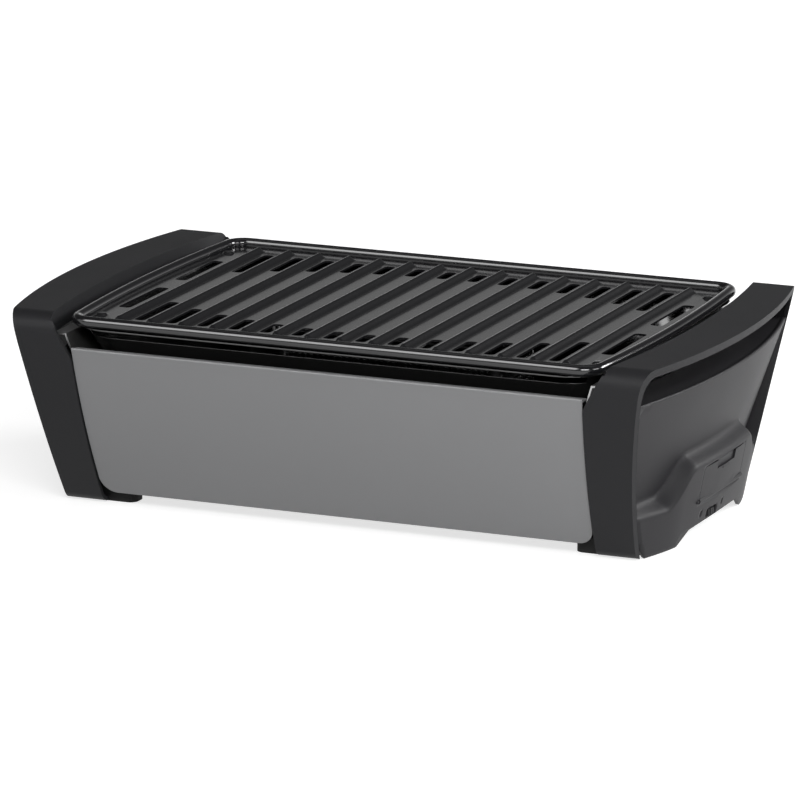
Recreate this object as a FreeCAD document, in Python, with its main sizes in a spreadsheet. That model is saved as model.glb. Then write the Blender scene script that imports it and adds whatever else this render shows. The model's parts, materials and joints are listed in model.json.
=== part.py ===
import FreeCAD, Part
import math
import os
import re

import Sketcher

# Tabletop charcoal grill, millimetres.
# X runs along the long side (battery door at +X), Y to the rear, Z up.
# The origin is on the floor, under the middle of the grill.

SIZES = [
    ("overall_length", 500.0, "over both handles, at mid depth"),
    ("overall_depth", 295.0, "over the brows of the end frames"),
    ("overall_height", 141.0, "floor to the top of the handles"),
    ("base_length", 446.0, "over both ends at floor level, at mid depth"),
    ("base_end_radius", 461.0, "plan radius of an end at floor level"),
    ("top_end_radius", 610.0, "plan radius of an end at handle level"),
    ("flank_radius", 445.0, "bulge of the front and rear in side view"),
    ("flank_centre_height", 207.4, "height of the centre of that bulge"),
    ("brow_height", 118.0, "where the flank starts to turn upright"),
    ("crown_radius", 13.0, "round between brow and handle top"),
    ("foot_round_height", 7.0, "height of the round under a foot"),
    ("frame_lift", 0.8, "end frame above the floor"),
    ("arch_height", 8.5, "rise of the bottom edge between the feet"),
    ("arch_outer_half", 61.0, "where the rise starts, from the middle"),
    ("arch_inner_half", 46.0, "where the rise ends, from the middle"),
    ("frame_wall", 3.0, "wall of the end frame"),
    ("handle_thickness", 5.5, "thickness of the handle plate"),
    ("column_edge_foot", 182.5, "inner edge of a column at the floor"),
    ("column_edge_knee", 187.5, "inner edge of a column at the knee"),
    ("knee_height", 111.0, "where the column turns towards the handle"),
    ("handle_edge", 203.0, "inner edge of the handle at its ends"),
    ("handle_edge_radius", 900.0, "plan radius of the inner handle edge"),
    ("handle_lip_height", 15.0, "depth of the inner handle flange"),
    ("column_return", 4.0, "side strip of a column beside the side panel"),
    ("grip_bottom_height", 116.5, "lower edge of the grip opening"),
    ("grip_corner_radius", 11.0, "round of the upper grip corners"),
    ("seam", 0.4, "visible gap round a fitted panel"),
    ("seat_gap", 0.1, "gap between faces that rest on each other"),
    ("side_recess", 0.7, "side panel below the frame surface"),
    ("side_wall", 2.5, "wall of the side panel"),
    ("side_overlap", 4.0, "hidden rim of the side panel behind a column"),
    ("shelf_depth", 30.0, "floor of the grip pocket, inwards"),
    ("pod_rise", 4.0, "raised lower field of the side panel"),
    ("pod_crest_low", 29.5, "foot of the pod shoulder near the columns"),
    ("pod_crest_high", 53.5, "foot of the pod shoulder over the door"),
    ("pod_shoulder", 14.0, "height of the sloping pod shoulder"),
    ("pod_half_length", 121.0, "where the pod has faded out"),
    ("pod_fade", 12.0, "length over which the pod fades out"),
    ("pod_climb_outer", 80.0, "where the pod shoulder starts to climb"),
    ("pod_climb_inner", 52.0, "where the pod shoulder has climbed"),
    ("panel_recess", 1.5, "front panel below the column surface"),
    ("sheet", 1.2, "steel sheet of panels, base and inner walls"),
    ("panel_bottom_height", 9.5, "lower edge of the front panel"),
    ("panel_top_height", 117.5, "top of the front panel"),
    ("panel_lip_depth", 9.0, "inward lip at the panel top"),
    ("panel_flange_depth", 15.0, "inward flange at the panel bottom"),
    ("panel_bead_radius", 1.3, "bead along the panel top"),
    ("panel_corner_radius", 12.0, "lower corners of the panel"),
    ("base_plate_length", 400.0, "base plate between the end frames"),
    ("base_plate_depth", 184.0, "base plate front to rear"),
    ("inlet_slot_length", 16.0, "air inlet slot"),
    ("inlet_slot_width", 3.2, "air inlet slot"),
    ("inlet_slots", 7, "slots in the air inlet"),
    ("inlet_pitch", 6.4, "spacing of the inlet slots"),
    ("pad_length", 34.0, "rubber foot along X"),
    ("pad_depth", 17.0, "rubber foot along Y"),
    ("pad_inner_edge", 163.5, "inner end of a rubber foot"),
    ("pad_rear_edge", 79.0, "inner side of a rubber foot"),
    ("pad_round", 6.0, "plan corners of a rubber foot"),
    ("pad_clearance", 0.2, "round a rubber foot in the frame"),
    ("inner_wall_foot", 155.0, "foot of the inner wall"),
    ("inner_wall_top", 192.5, "top of the inner wall"),
    ("inner_wall_flange", 12.0, "foot flange of the inner wall"),
    ("inner_wall_ledge", 9.5, "top ledge that carries the bowl"),
    ("bowl_rim_length", 382.0, "bowl over its walls at the rim"),
    ("bowl_rim_depth", 266.0, "bowl over its walls at the rim"),
    ("bowl_floor_length", 300.0, "bowl floor"),
    ("bowl_floor_depth", 176.0, "bowl floor"),
    ("bowl_floor_height", 34.6, "underside of the bowl"),
    ("bowl_rim_height", 129.0, "top of the bowl flange"),
    ("bowl_flange", 5.0, "flange round the bowl rim"),
    ("bowl_corner_radius", 26.0, "plan corners of the bowl"),
    ("bowl_notch_height", 124.6, "wide notch in the front and rear wall"),
    ("bowl_notch_length", 364.0, "wide notch in the front and rear wall"),
    ("neck_radius", 17.0, "air hole in the bowl floor"),
    ("neck_height", 8.0, "air neck above the bowl floor"),
    ("dish_length", 132.0, "starter dish"),
    ("dish_depth", 52.0, "starter dish"),
    ("dish_height", 9.0, "starter dish"),
    ("dish_corner_radius", 12.0, "starter dish"),
    ("dish_clearance", 1.5, "dish round the air neck"),
    ("thin_sheet", 1.0, "drawn steel of bowl, dish and basket"),
    ("basket_length", 166.0, "charcoal basket"),
    ("basket_depth", 67.0, "charcoal basket"),
    ("basket_top_height", 121.0, "top of the charcoal basket"),
    ("basket_floor_height", 52.0, "floor of the charcoal basket"),
    ("basket_corner_radius", 5.0, "vertical corners of the basket"),
    ("basket_rim", 6.0, "plain band at the top of the basket"),
    ("basket_slots_long", 13, "openings in a row, long wall"),
    ("basket_slots_short", 5, "openings in a row, short wall"),
    ("basket_rows", 4, "rows of openings"),
    ("basket_hole_width", 6.4, "opening in the basket wall"),
    ("basket_hole_height", 10.0, "opening in the basket wall"),
    ("basket_hole_pitch", 12.0, "opening spacing along the wall"),
    ("basket_row_pitch", 16.0, "opening spacing up the wall"),
    ("grate_depth", 277.0, "over the bead of the grate"),
    ("grate_corner_length", 389.0, "over the bead, at its corners"),
    ("grate_end_radius", 1480.0, "plan radius of a grate end"),
    ("grate_corner_radius", 17.0, "plan corners of the grate"),
    ("grate_floor_height", 131.2, "top of the flat between the ribs"),
    ("grate_sheet", 1.5, "enamelled sheet of the grate"),
    ("bead_radius", 4.0, "rolled bead round the grate"),
    ("bead_height", 135.5, "centre of the bead"),
    ("rib_count", 15, "ribs across the grate"),
    ("rib_pitch", 23.5, "spacing of the ribs"),
    ("rib_length", 238.0, "rib with its round noses"),
    ("rib_radius", 6.0, "outer radius of a rib"),
    ("grate_slot_length", 30.0, "slot in the flat between two ribs"),
    ("grate_slot_width", 7.5, "slot in the flat between two ribs"),
    ("grate_slot_centre", 96.0, "slot centre from the middle"),
    ("end_slot_length", 80.0, "long slot beside the last rib"),
    ("end_slot_width", 6.0, "long slot beside the last rib"),
    ("end_slot_offset", 14.5, "long slot from the last rib"),
    ("dimple_radius", 5.0, "round dimple in a grate corner"),
    ("dimple_rise", 2.0, "round dimple in a grate corner"),
    ("fan_frame", 64.0, "square fan frame"),
    ("fan_frame_height", 14.0, "fan frame"),
    ("fan_frame_corner", 5.0, "corners of the fan frame"),
    ("fan_bore_radius", 28.5, "bore of the fan frame"),
    ("fan_spoke_width", 4.0, "spokes that carry the motor"),
    ("fan_spoke_height", 2.0, "spokes that carry the motor"),
    ("motor_radius", 10.0, "fan motor"),
    ("motor_height", 6.0, "fan motor"),
    ("shaft_radius", 1.5, "motor shaft"),
    ("shaft_fit", 0.05, "radial play of the motor shaft"),
    ("impeller_radius", 27.0, "over the blade tips"),
    ("hub_radius", 12.5, "impeller hub"),
    ("hub_wall", 1.4, "impeller hub"),
    ("hub_gap", 0.6, "hub round the motor"),
    ("blade_thickness", 1.4, "impeller blade"),
    ("blade_chord", 11.0, "impeller blade"),
    ("blade_pitch_angle", 38.0, "slant of a blade"),
    ("blade_count", 7, "impeller blades"),
    ("blade_foot", 1.5, "blades above the foot of the motor"),
    ("collar_wall", 1.5, "air collar"),
    ("collar_top_radius", 24.0, "air collar under the bowl"),
    ("collar_flange", 4.0, "flange of the air collar"),
    ("door_length", 80.0, "battery door along Y"),
    ("door_centre", 1.0, "middle of the door along Y"),
    ("door_bottom_height", 26.0, "lower edge of the door opening"),
    ("door_top_height", 52.0, "upper edge of the door opening"),
    ("door_wall", 2.2, "battery door"),
    ("door_corner_radius", 3.0, "upper corners of the door"),
    ("hinge_radius", 1.8, "barrel along the foot of the door"),
    ("hinge_pin_radius", 1.0, "hinge pin"),
    ("hinge_pin_length", 3.0, "hinge pin"),
    ("hinge_clearance", 0.1, "radial play of the hinge pin"),
    ("hinge_depth", 1.9, "hinge axis behind the pod surface"),
    ("latch_length", 33.0, "finger recess in the door"),
    ("latch_height", 6.0, "finger recess in the door"),
    ("latch_depth", 1.4, "finger recess in the door"),
    ("latch_tongue_length", 12.0, "spring tongue of the door"),
    ("latch_tongue_height", 8.0, "spring tongue of the door"),
    ("latch_tongue_wall", 1.2, "spring tongue of the door"),
    ("tunnel_wall", 2.0, "collar round the battery opening"),
    ("tunnel_face", 219.0, "inner face of that collar"),
    ("cell_face", 228.0, "outer end of the cells"),
    ("contact_strip", 0.4, "contact strips on the door"),
    ("contact_length", 24.0, "contact strips on the door"),
    ("contact_height", 8.0, "contact strips on the door"),
    ("cell_radius", 7.1, "round cell"),
    ("cell_length", 49.0, "round cell without its cap"),
    ("cell_cap_radius", 2.6, "cap of a cell"),
    ("cell_cap_length", 1.4, "cap of a cell"),
    ("cell_pitch", 15.2, "cell spacing"),
    ("cell_count", 4, "cells side by side"),
    ("cell_clearance", 0.4, "round the cells in the box"),
    ("box_wall", 1.6, "battery box"),
    ("box_flange", 6.0, "battery box flange"),
    ("spring_radius", 4.0, "contact spring at its foot"),
    ("spring_tip_radius", 2.2, "contact spring at its tip"),
    ("spring_length", 4.6, "contact spring"),
    ("dial_radius", 12.0, "fan speed wheel"),
    ("dial_thickness", 4.2, "fan speed wheel"),
    ("dial_height", 12.9, "underside of the wheel"),
    ("dial_centre", -11.5, "wheel along Y"),
    ("dial_proud", 1.2, "wheel beyond the pod surface"),
    ("dial_grips", 24, "grip notches round the wheel"),
    ("dial_notch_radius", 0.9, "grip notch"),
    ("window_length", 19.0, "opening for the wheel"),
    ("window_bottom_height", 11.0, "opening for the wheel"),
    ("window_top_height", 18.2, "opening for the wheel"),
    ("window_round", 3.0, "domed corners of the opening"),
    ("vent_length", 3.0, "small slot beside the wheel"),
    ("vent_height", 4.0, "small slot beside the wheel"),
    ("vent_offset", 19.0, "small slot from the wheel"),
    ("vent_bottom_height", 15.4, "small slot beside the wheel"),
    ("dial_shaft_radius", 3.0, "spindle of the speed control"),
    ("dial_shaft_fit", 0.06, "radial play of the spindle"),
    ("pot_radius", 8.0, "speed control body"),
    ("pot_height", 3.2, "speed control body"),
    ("pot_gap", 0.3, "speed control above the wheel"),
    ("board_length", 34.0, "control board along X"),
    ("board_depth", 46.0, "control board along Y"),
    ("board_thickness", 1.6, "control board"),
    ("board_overhang", 3.0, "control board beyond the wheel axis"),
    ("post_radius", 4.0, "post under the control board"),
    ("post_row", 14.0, "posts from the outer edge of the board"),
    ("post_inset", 5.0, "posts from the ends of the board"),
    ("screw_head_radius", 3.7, "pan head screw"),
    ("screw_head_height", 2.1, "pan head screw"),
    ("screw_radius", 2.0, "pan head screw"),
    ("screw_length", 7.0, "pan head screw"),
    ("screw_clearance", 0.2, "screw in its hole"),
    ("screw_row", 191.0, "frame screws from the middle along X"),
    ("fan_screw_row", 27.0, "fan screws from the middle"),
    ("screw_spread", 36.0, "outer frame screws from the middle along Y"),
]

VALUES = {name: number for name, number, note in SIZES}
WORD = re.compile(r"[a-z][a-z_0-9]*")

doc = FreeCAD.newDocument("TabletopGrill")
sheet = doc.addObject("Spreadsheet::Sheet", "Sizes")
for row, (name, number, note) in enumerate(SIZES, start=1):
    sheet.set("A%d" % row, name)
    sheet.set("B%d" % row, str(number))
    sheet.set("C%d" % row, note)
    sheet.setAlias("B%d" % row, name)
doc.recompute()


# Expressions


def bound(text):
    """The expression with each size written as a cell of the sheet."""
    def cell(match):
        word = match.group(0)
        return "Sizes." + word if word in VALUES else word
    return WORD.sub(cell, str(text))


def number_of(text):
    return float(sheet.evalExpression(str(text)))


def bind(item, prop, text):
    item.setExpression(prop, bound(text))


def place(item, x="0", y="0", z="0", rotation=None):
    """Put an object at bound coordinates, turned by a fixed rotation."""
    base = FreeCAD.Vector(number_of(x), number_of(y), number_of(z))
    item.Placement = FreeCAD.Placement(base, rotation or FreeCAD.Rotation())
    bind(item, "Placement.Base.x", x)
    bind(item, "Placement.Base.y", y)
    bind(item, "Placement.Base.z", z)
    return item


# Sketches

FRONT_VIEW = FreeCAD.Rotation(FreeCAD.Vector(1, 0, 0), 90)
SIDE_VIEW = FreeCAD.Rotation(FreeCAD.Vector(1, 1, 1), 120)
PLAN_VIEW = FreeCAD.Rotation()


def ccw_arc(start, middle, end):
    """Arc through three points, always stored anticlockwise."""
    if (middle - start).cross(end - middle).z < 0:
        return Part.Arc(end, middle, start)
    return Part.Arc(start, middle, end)


def arc_through(start, end, radius):
    """Short arc from start to end; a positive radius bulges to the right of travel."""
    chord = end - start
    half = chord.Length / 2
    reach = math.sqrt(max(radius * radius - half * half, 0.0))
    left = FreeCAD.Vector(-chord.y, chord.x, 0).normalize()
    side = 1 if radius > 0 else -1
    centre = (start + end) * 0.5 + left * reach * side
    middle = centre - left * abs(radius) * side
    return ccw_arc(start, middle, end)


def heading(points, edge, arcs, end):
    """Direction of travel at the start (-1) or the end (1) of an edge."""
    chord = points[(edge + 1) % len(points)] - points[edge]
    turn_by = 0.0
    if edge in arcs:
        turn_by = end * math.asin(chord.Length / 2 / number_of(arcs[edge]))
    rotation = FreeCAD.Rotation(FreeCAD.Vector(0, 0, 1), math.degrees(turn_by))
    return rotation.multVec(chord).normalize()


def draw(sketch, corners, arcs=None, rounds=None):
    """Closed outline through bound corners.

    arcs maps an edge (by its first corner) to a bound radius, and rounds maps a
    corner to the bound radius of its fillet.
    """
    arcs = arcs or {}
    rounds = rounds or {}
    count = len(corners)
    points = [FreeCAD.Vector(number_of(x), number_of(y), 0) for x, y in corners]
    entry = list(points)
    leave = list(points)
    for corner, radius in rounds.items():
        before = heading(points, (corner - 1) % count, arcs, 1) * -1
        after = heading(points, corner, arcs, -1)
        half = before.getAngle(after) / 2
        back = number_of(radius) / math.tan(half)
        entry[corner] = points[corner] + before * back
        leave[corner] = points[corner] + after * back
    edges = {}
    for edge in range(count):
        start, end = leave[edge], entry[(edge + 1) % count]
        if edge in arcs:
            shape = arc_through(start, end, number_of(arcs[edge]))
        else:
            shape = Part.LineSegment(start, end)
        edges[edge] = sketch.addGeometry(shape, False)
    for edge, radius in arcs.items():
        add_size(sketch, Sketcher.Constraint(
            "Radius", edges[edge], abs(number_of(radius))), "abs(%s)" % radius)
    for corner in range(count):
        last, this = edges[(corner - 1) % count], edges[corner]
        last_end = end_of(sketch, last, entry[corner])
        this_start = end_of(sketch, this, leave[corner])
        if corner in rounds:
            anchor, position = add_round(
                sketch, points[corner], entry[corner], leave[corner],
                (last, last_end), (this, this_start), rounds[corner])
        else:
            sketch.addConstraint(Sketcher.Constraint(
                "Coincident", last, last_end, this, this_start))
            anchor, position = this, this_start
        for kind, text in zip(("DistanceX", "DistanceY"), corners[corner]):
            add_size(sketch, Sketcher.Constraint(
                kind, -1, 1, anchor, position, number_of(text)), text)
    return sketch


def add_size(sketch, constraint, text):
    index = sketch.addConstraint(constraint)
    bind(sketch, "Constraints[%d]" % index, text)


def end_of(sketch, edge, point):
    """1 if the edge starts at the point, 2 if it ends there."""
    shape = sketch.Geometry[edge]
    near_start = (shape.StartPoint - point).Length < (shape.EndPoint - point).Length
    return 1 if near_start else 2


def add_round(sketch, corner, entry, leave, last, this, radius):
    """Fillet arc between two lines, with a construction point at the sharp corner."""
    size = number_of(radius)
    inward = (entry + leave) * 0.5 - corner
    reach = math.hypot((entry - corner).Length, size)
    centre = corner + inward.normalize() * reach
    middle = centre + (corner - centre).normalize() * size
    arc = sketch.addGeometry(ccw_arc(entry, middle, leave), False)
    sharp = sketch.addGeometry(Part.Point(corner), True)
    sketch.addConstraint(Sketcher.Constraint(
        "Tangent", last[0], last[1], arc, end_of(sketch, arc, entry)))
    sketch.addConstraint(Sketcher.Constraint(
        "Tangent", this[0], this[1], arc, end_of(sketch, arc, leave)))
    sketch.addConstraint(Sketcher.Constraint("PointOnObject", sharp, 1, last[0]))
    sketch.addConstraint(Sketcher.Constraint("PointOnObject", sharp, 1, this[0]))
    add_size(sketch, Sketcher.Constraint("Radius", arc, size), radius)
    return sharp, 1


def sketch_at(name, view, corners, arcs=None, rounds=None, x="0", y="0", z="0"):
    """A free sketch in one of the three views, at a bound place."""
    sketch = doc.addObject("Sketcher::SketchObject", name)
    draw(sketch, corners, arcs, rounds)
    return place(sketch, x, y, z, view)


def rectangle(x_low, x_high, y_low, y_high):
    return [(x_low, y_low), (x_high, y_low), (x_high, y_high), (x_low, y_high)]


def centred(length, depth):
    return rectangle("-(%s) / 2" % length, "(%s) / 2" % length,
                     "-(%s) / 2" % depth, "(%s) / 2" % depth)


ALL_FOUR = (0, 1, 2, 3)


def rounded(radius, corners=ALL_FOUR):
    return {corner: radius for corner in corners}


# Solids

AXES = {
    "X": FreeCAD.Vector(1, 0, 0),
    "Y": FreeCAD.Vector(0, 1, 0),
    "Z": FreeCAD.Vector(0, 0, 1),
}


def extrude(name, sketch, axis, length, symmetric=False):
    solid = doc.addObject("Part::Extrusion", name)
    solid.Base = sketch
    solid.DirMode = "Custom"
    solid.Dir = AXES[axis]
    solid.Solid = True
    solid.Symmetric = symmetric
    bind(solid, "LengthFwd", length)
    return solid


def prism(name, view, corners, axis, length, arcs=None, rounds=None,
          x="0", y="0", z="0", symmetric=False):
    outline = sketch_at(name + "Outline", view, corners, arcs, rounds, x, y, z)
    return extrude(name, outline, axis, length, symmetric)


def revolve(name, corners, x="0", y="0", arcs=None):
    """Turn an outline given as (radius, height) pairs about a vertical axis."""
    outline = sketch_at(name + "Outline", FRONT_VIEW, corners, arcs, None, x, y)
    solid = doc.addObject("Part::Revolution", name)
    solid.Source = outline
    solid.Axis = AXES["Z"]
    solid.Angle = 360
    solid.Solid = True
    bind(solid, "Base.x", x)
    bind(solid, "Base.y", y)
    return solid


def loft(name, sections):
    solid = doc.addObject("Part::Loft", name)
    solid.Sections = sections
    solid.Solid = True
    solid.Ruled = True
    return solid


def cylinder(name, radius, height, x="0", y="0", z="0", rotation=None):
    solid = doc.addObject("Part::Cylinder", name)
    bind(solid, "Radius", radius)
    bind(solid, "Height", height)
    return place(solid, x, y, z, rotation)


def box(name, length, width, height, x="0", y="0", z="0", rotation=None):
    solid = doc.addObject("Part::Box", name)
    bind(solid, "Length", length)
    bind(solid, "Width", width)
    bind(solid, "Height", height)
    return place(solid, x, y, z, rotation)


def cut(name, base, tool):
    piece = doc.addObject("Part::Cut", name)
    piece.Base = base
    piece.Tool = tool
    return piece


def fuse(name, shapes):
    piece = doc.addObject("Part::MultiFuse", name)
    piece.Shapes = shapes
    return piece


def common(name, shapes):
    piece = doc.addObject("Part::MultiCommon", name)
    piece.Shapes = shapes
    return piece


def group(name, shapes):
    piece = doc.addObject("Part::Compound", name)
    piece.Links = shapes
    return piece


def mirror(name, source, axis):
    piece = doc.addObject("Part::Mirroring", name)
    piece.Source = source
    piece.Base = FreeCAD.Vector(0, 0, 0)
    piece.Normal = AXES[axis]
    return piece


NODES = []


def node(piece, label):
    piece.Label = label
    NODES.append(piece)
    return piece


# The boat shape: the side view of the grill, whose arcs all meet smoothly

BROW_SINE = "((flank_centre_height - brow_height) / flank_radius)"
BROW_COSINE = "sqrt(1 - %s ^ 2)" % BROW_SINE
BROW_RADIUS = "((overall_height - crown_radius - brow_height) / %s)" % BROW_SINE
FLANK_CENTRE = ("(overall_depth / 2 - %s * (1 - %s) - flank_radius * %s)"
                % (BROW_RADIUS, BROW_COSINE, BROW_COSINE))
FOOT_SINE = "((flank_centre_height - foot_round_height) / flank_radius)"
FOOT_COSINE = "sqrt(1 - %s ^ 2)" % FOOT_SINE
FOOT_RADIUS = "((foot_round_height - frame_lift) / (1 - %s))" % FOOT_SINE


def flank(height, inset="0"):
    """Half depth of the boat shape at a height, moved inwards by the inset."""
    return ("(%s + sqrt((flank_radius - (%s)) ^ 2 - ((%s) - flank_centre_height) ^ 2))"
            % (FLANK_CENTRE, inset, height))


def boat_corners(inset, top_thickness):
    """Right half of the side view, from the arch up to the top."""
    flat_end = ("(%s + flank_radius * %s - %s * %s)"
                % (FLANK_CENTRE, FOOT_COSINE, FOOT_RADIUS, FOOT_COSINE))
    foot_height = ("(flank_centre_height - (flank_radius - (%s)) * %s)"
                   % (inset, FOOT_SINE))
    brow_height = ("(flank_centre_height - (flank_radius - (%s)) * %s)"
                   % (inset, BROW_SINE))
    top_drop = "(crown_radius - (%s))" % top_thickness
    top_half = ("(overall_depth / 2 - crown_radius"
                " + sqrt((crown_radius - (%s)) ^ 2 - %s ^ 2))" % (inset, top_drop))
    return [
        ("arch_inner_half", "frame_lift + arch_height + (%s)" % inset),
        ("arch_outer_half", "frame_lift + (%s)" % inset),
        (flat_end, "frame_lift + (%s)" % inset),
        (flank(foot_height, inset), foot_height),
        (flank(brow_height, inset), brow_height),
        ("overall_depth / 2 - (%s)" % inset, "overall_height - crown_radius"),
        (top_half, "overall_height - (%s)" % top_thickness),
    ]


def boat_prism(name, inset, top_thickness, start, length):
    half = boat_corners(inset, top_thickness)
    other = [("-(%s)" % y, z) for y, z in reversed(half)]
    corners = half + other
    radii = {
        2: "%s - (%s)" % (FOOT_RADIUS, inset),
        3: "flank_radius - (%s)" % inset,
        4: "%s - (%s)" % (BROW_RADIUS, inset),
        5: "crown_radius - (%s)" % inset,
    }
    last = len(corners) - 2
    mirrored = {last - edge: radius for edge, radius in radii.items()}
    return prism(name, SIDE_VIEW, corners, "X", length,
                 arcs={**radii, **mirrored}, x=start)


# The end shape: a plan arc at the floor and one at handle height, joined by rules

END_SPAN = "(overall_depth / 2 + 20)"
END_START = "120"


def end_section(name, middle, radius, height):
    edge = "(%s) - (%s) + sqrt((%s) ^ 2 - %s ^ 2)" % (middle, radius, radius, END_SPAN)
    corners = [(END_START, "-%s" % END_SPAN), (edge, "-%s" % END_SPAN),
               (edge, END_SPAN), (END_START, END_SPAN)]
    return sketch_at(name, PLAN_VIEW, corners, arcs={1: radius}, z=height)


def end_solid(name, offset):
    """Everything between X = 120 and the end surface moved out by the offset."""
    return loft(name, [
        end_section(name + "Floor", "base_length / 2 + (%s)" % offset,
                    "base_end_radius + (%s)" % offset, "0"),
        end_section(name + "Top", "overall_length / 2 + (%s)" % offset,
                    "top_end_radius + (%s)" % offset, "overall_height"),
    ])


def end_surface(height, offset="0"):
    """X of the end surface at mid depth."""
    return ("(base_length / 2 + (overall_length - base_length) / 2"
            " * (%s) / overall_height + (%s))" % (height, offset))


def end_layer(name, outline, outer, inner):
    """The part of a YZ outline that lies between two offsets of the end surface."""
    outside = common(name + "Outside", [outline, end_solid(name + "Outer", outer)])
    return cut(name, outside, end_solid(name + "Inner", inner))


# Right end frame: two columns, the handle between them and the feet below


def column_edge_cut(name):
    """Everything inboard of the columns, in front view."""
    corners = [("100", "-5"), ("column_edge_foot", "-5"),
               ("column_edge_knee", "knee_height"),
               ("handle_edge", "overall_height - 2"),
               ("handle_edge", "overall_height + 5"), ("100", "overall_height + 5")]
    return prism(name, FRONT_VIEW, corners, "Y", "overall_depth + 40",
                 rounds={2: "15"}, symmetric=True)


def handle_arc(name, offset, low, high):
    """Plan shape inboard of the inner handle edge, moved outwards by the offset."""
    span = "(overall_depth / 2 - frame_wall)"
    edge = "handle_edge + (%s)" % offset
    corners = [("150", "-%s" % span), (edge, "-%s" % span),
               (edge, span), ("150", span)]
    return prism(name, PLAN_VIEW, corners, "Z", "(%s) - (%s)" % (high, low),
                 arcs={1: "handle_edge_radius"}, z=low)


def side_opening(name, seam, low_cut):
    """YZ outline of the opening in the side of the frame."""
    side = "(column_return + (%s))" % seam
    half = [
        ("arch_inner_half", "frame_lift + arch_height + (%s)" % low_cut),
        ("arch_outer_half", "frame_lift + (%s)" % low_cut),
        ("%s - 6" % flank("foot_round_height", side), "frame_lift + (%s)" % low_cut),
        (flank("foot_round_height + 3", side), "foot_round_height + 3"),
        (flank("grip_bottom_height", side), "grip_bottom_height"),
    ]
    return half


def mirrored_outline(half):
    return half + [("-(%s)" % y, z) for y, z in reversed(half)]


def frame_side_cut():
    half = side_opening("FrameSide", "0", "-5")
    top = "overall_height - handle_thickness"
    half.append((flank("grip_bottom_height", "column_return"), top))
    corners = mirrored_outline(half)
    last = len(corners) - 2
    outline = prism("FrameSideOutline", SIDE_VIEW, corners, "X", "150",
                    arcs={3: "flank_radius - column_return",
                          last - 3: "flank_radius - column_return"},
                    rounds={5: "grip_corner_radius", 6: "grip_corner_radius"},
                    x=END_START)
    return end_layer("FrameSideCut", outline, "10",
                     "-(side_recess + side_wall * 2 + seat_gap)")


def make_end_frame():
    outer = common("FrameOuter", [
        boat_prism("FrameBoat", "0", "0", END_START, "150"),
        end_solid("FrameEnd", "0")])
    inner = common("FrameHollow", [
        boat_prism("FrameHollowBoat", "frame_wall", "handle_thickness",
                   "%s - 1" % END_START, "152"),
        end_solid("FrameHollowEnd", "-frame_wall")])
    shell = cut("FrameShell", outer, inner)
    handle_hole = handle_arc("FrameHandleHole", "0", "knee_height + 10",
                             "overall_height + 5")
    lip_low = "overall_height - handle_lip_height"
    lip = cut("FrameLip",
              common("FrameLipOuter", [
                  handle_arc("FrameLipArc", "frame_wall", lip_low,
                             "overall_height - handle_thickness / 2"),
                  boat_prism("FrameLipBoat", "frame_wall / 2", "handle_thickness / 2",
                             "180", "60")]),
              handle_arc("FrameLipHole", "0", "%s - 5" % lip_low,
                         "overall_height + 5"))
    body = cut("FrameOpened", shell, fuse("FrameCuts", [
        column_edge_cut("FrameEdgeCut"), handle_hole, frame_side_cut()]))
    posts = []
    for index, (x, y) in enumerate(board_posts()):
        posts.append(cylinder(
            "FramePost%d" % index, "post_radius",
            "%s - (%s)" % (BOARD_HEIGHT, FRAME_FLOOR), x, y, FRAME_FLOOR))
    joined = fuse("FrameJoined", [body, lip])
    holes = [pad_shape("FramePadHole%d" % side, side, "pad_clearance")
             for side in (-1, 1)]
    holes += [cylinder("FrameScrewHole%d" % index, "screw_radius + screw_clearance",
                       "20", x, y, "0")
              for index, (x, y) in enumerate(frame_screw_places())]
    left = mirror("LeftFrame", cut("PlainFrame", joined, fuse("FrameHoles", holes)), "X")
    node(left, "left_end_frame")
    post_holes = [cylinder("FramePostHole%d" % index, "screw_radius + screw_clearance",
                           "20", x, y, "%s - screw_length - 1" % BOARD_HEIGHT)
                  for index, (x, y) in enumerate(board_posts())]
    right = cut("RightFrame", fuse("RightFrameJoined", [joined] + posts),
                fuse("RightFrameHoles", [doc.getObject("FrameHoles")] + post_holes))
    node(right, "right_end_frame")


FRAME_FLOOR = "(frame_lift + arch_height + frame_wall)"
BOARD_HEIGHT = ("(dial_height + dial_thickness + pot_gap + pot_height)")


def dial_axis():
    return "(%s - dial_radius)" % end_surface("dial_height", "pod_rise + dial_proud")


def board_posts():
    row = "(%s + board_overhang - post_row)" % dial_axis()
    return [(row, "dial_centre - board_depth / 2 + post_inset"),
            (row, "dial_centre + board_depth / 2 - post_inset")]


def frame_screw_places():
    return [("screw_row", "-screw_spread"), ("screw_row", "0"),
            ("screw_row", "screw_spread")]


def fan_screw_places():
    return [("%d * fan_screw_row" % x, "%d * fan_screw_row" % y)
            for x in (-1, 1) for y in (-1, 1)]


# Rubber feet

PAD_TOP = "(frame_lift + arch_height + frame_wall - sheet - seat_gap)"


def pad_shape(name, side, clearance):
    """A rounded block beside the front (-1) or rear (+1) foot of the frame."""
    near = "(pad_rear_edge - (%s))" % clearance
    far = "(pad_rear_edge + pad_depth + (%s))" % clearance
    low = "(pad_inner_edge - (%s))" % clearance
    high = "(pad_inner_edge + pad_length + (%s))" % clearance
    if side < 0:
        corners = rectangle(low, high, "-%s" % far, "-%s" % near)
    else:
        corners = rectangle(low, high, near, far)
    return prism(name, PLAN_VIEW, corners, "Z", "%s + (%s)" % (PAD_TOP, clearance),
                 rounds=rounded("pad_round"))


def make_pads():
    for side, word in ((-1, "front"), (1, "rear")):
        right = pad_shape("RightPad" + word, side, "0")
        node(right, word + "_right_foot_pad")
        node(mirror("LeftPad" + word, right, "X"), word + "_left_foot_pad")


# Side panels, with the raised pod below


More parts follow.
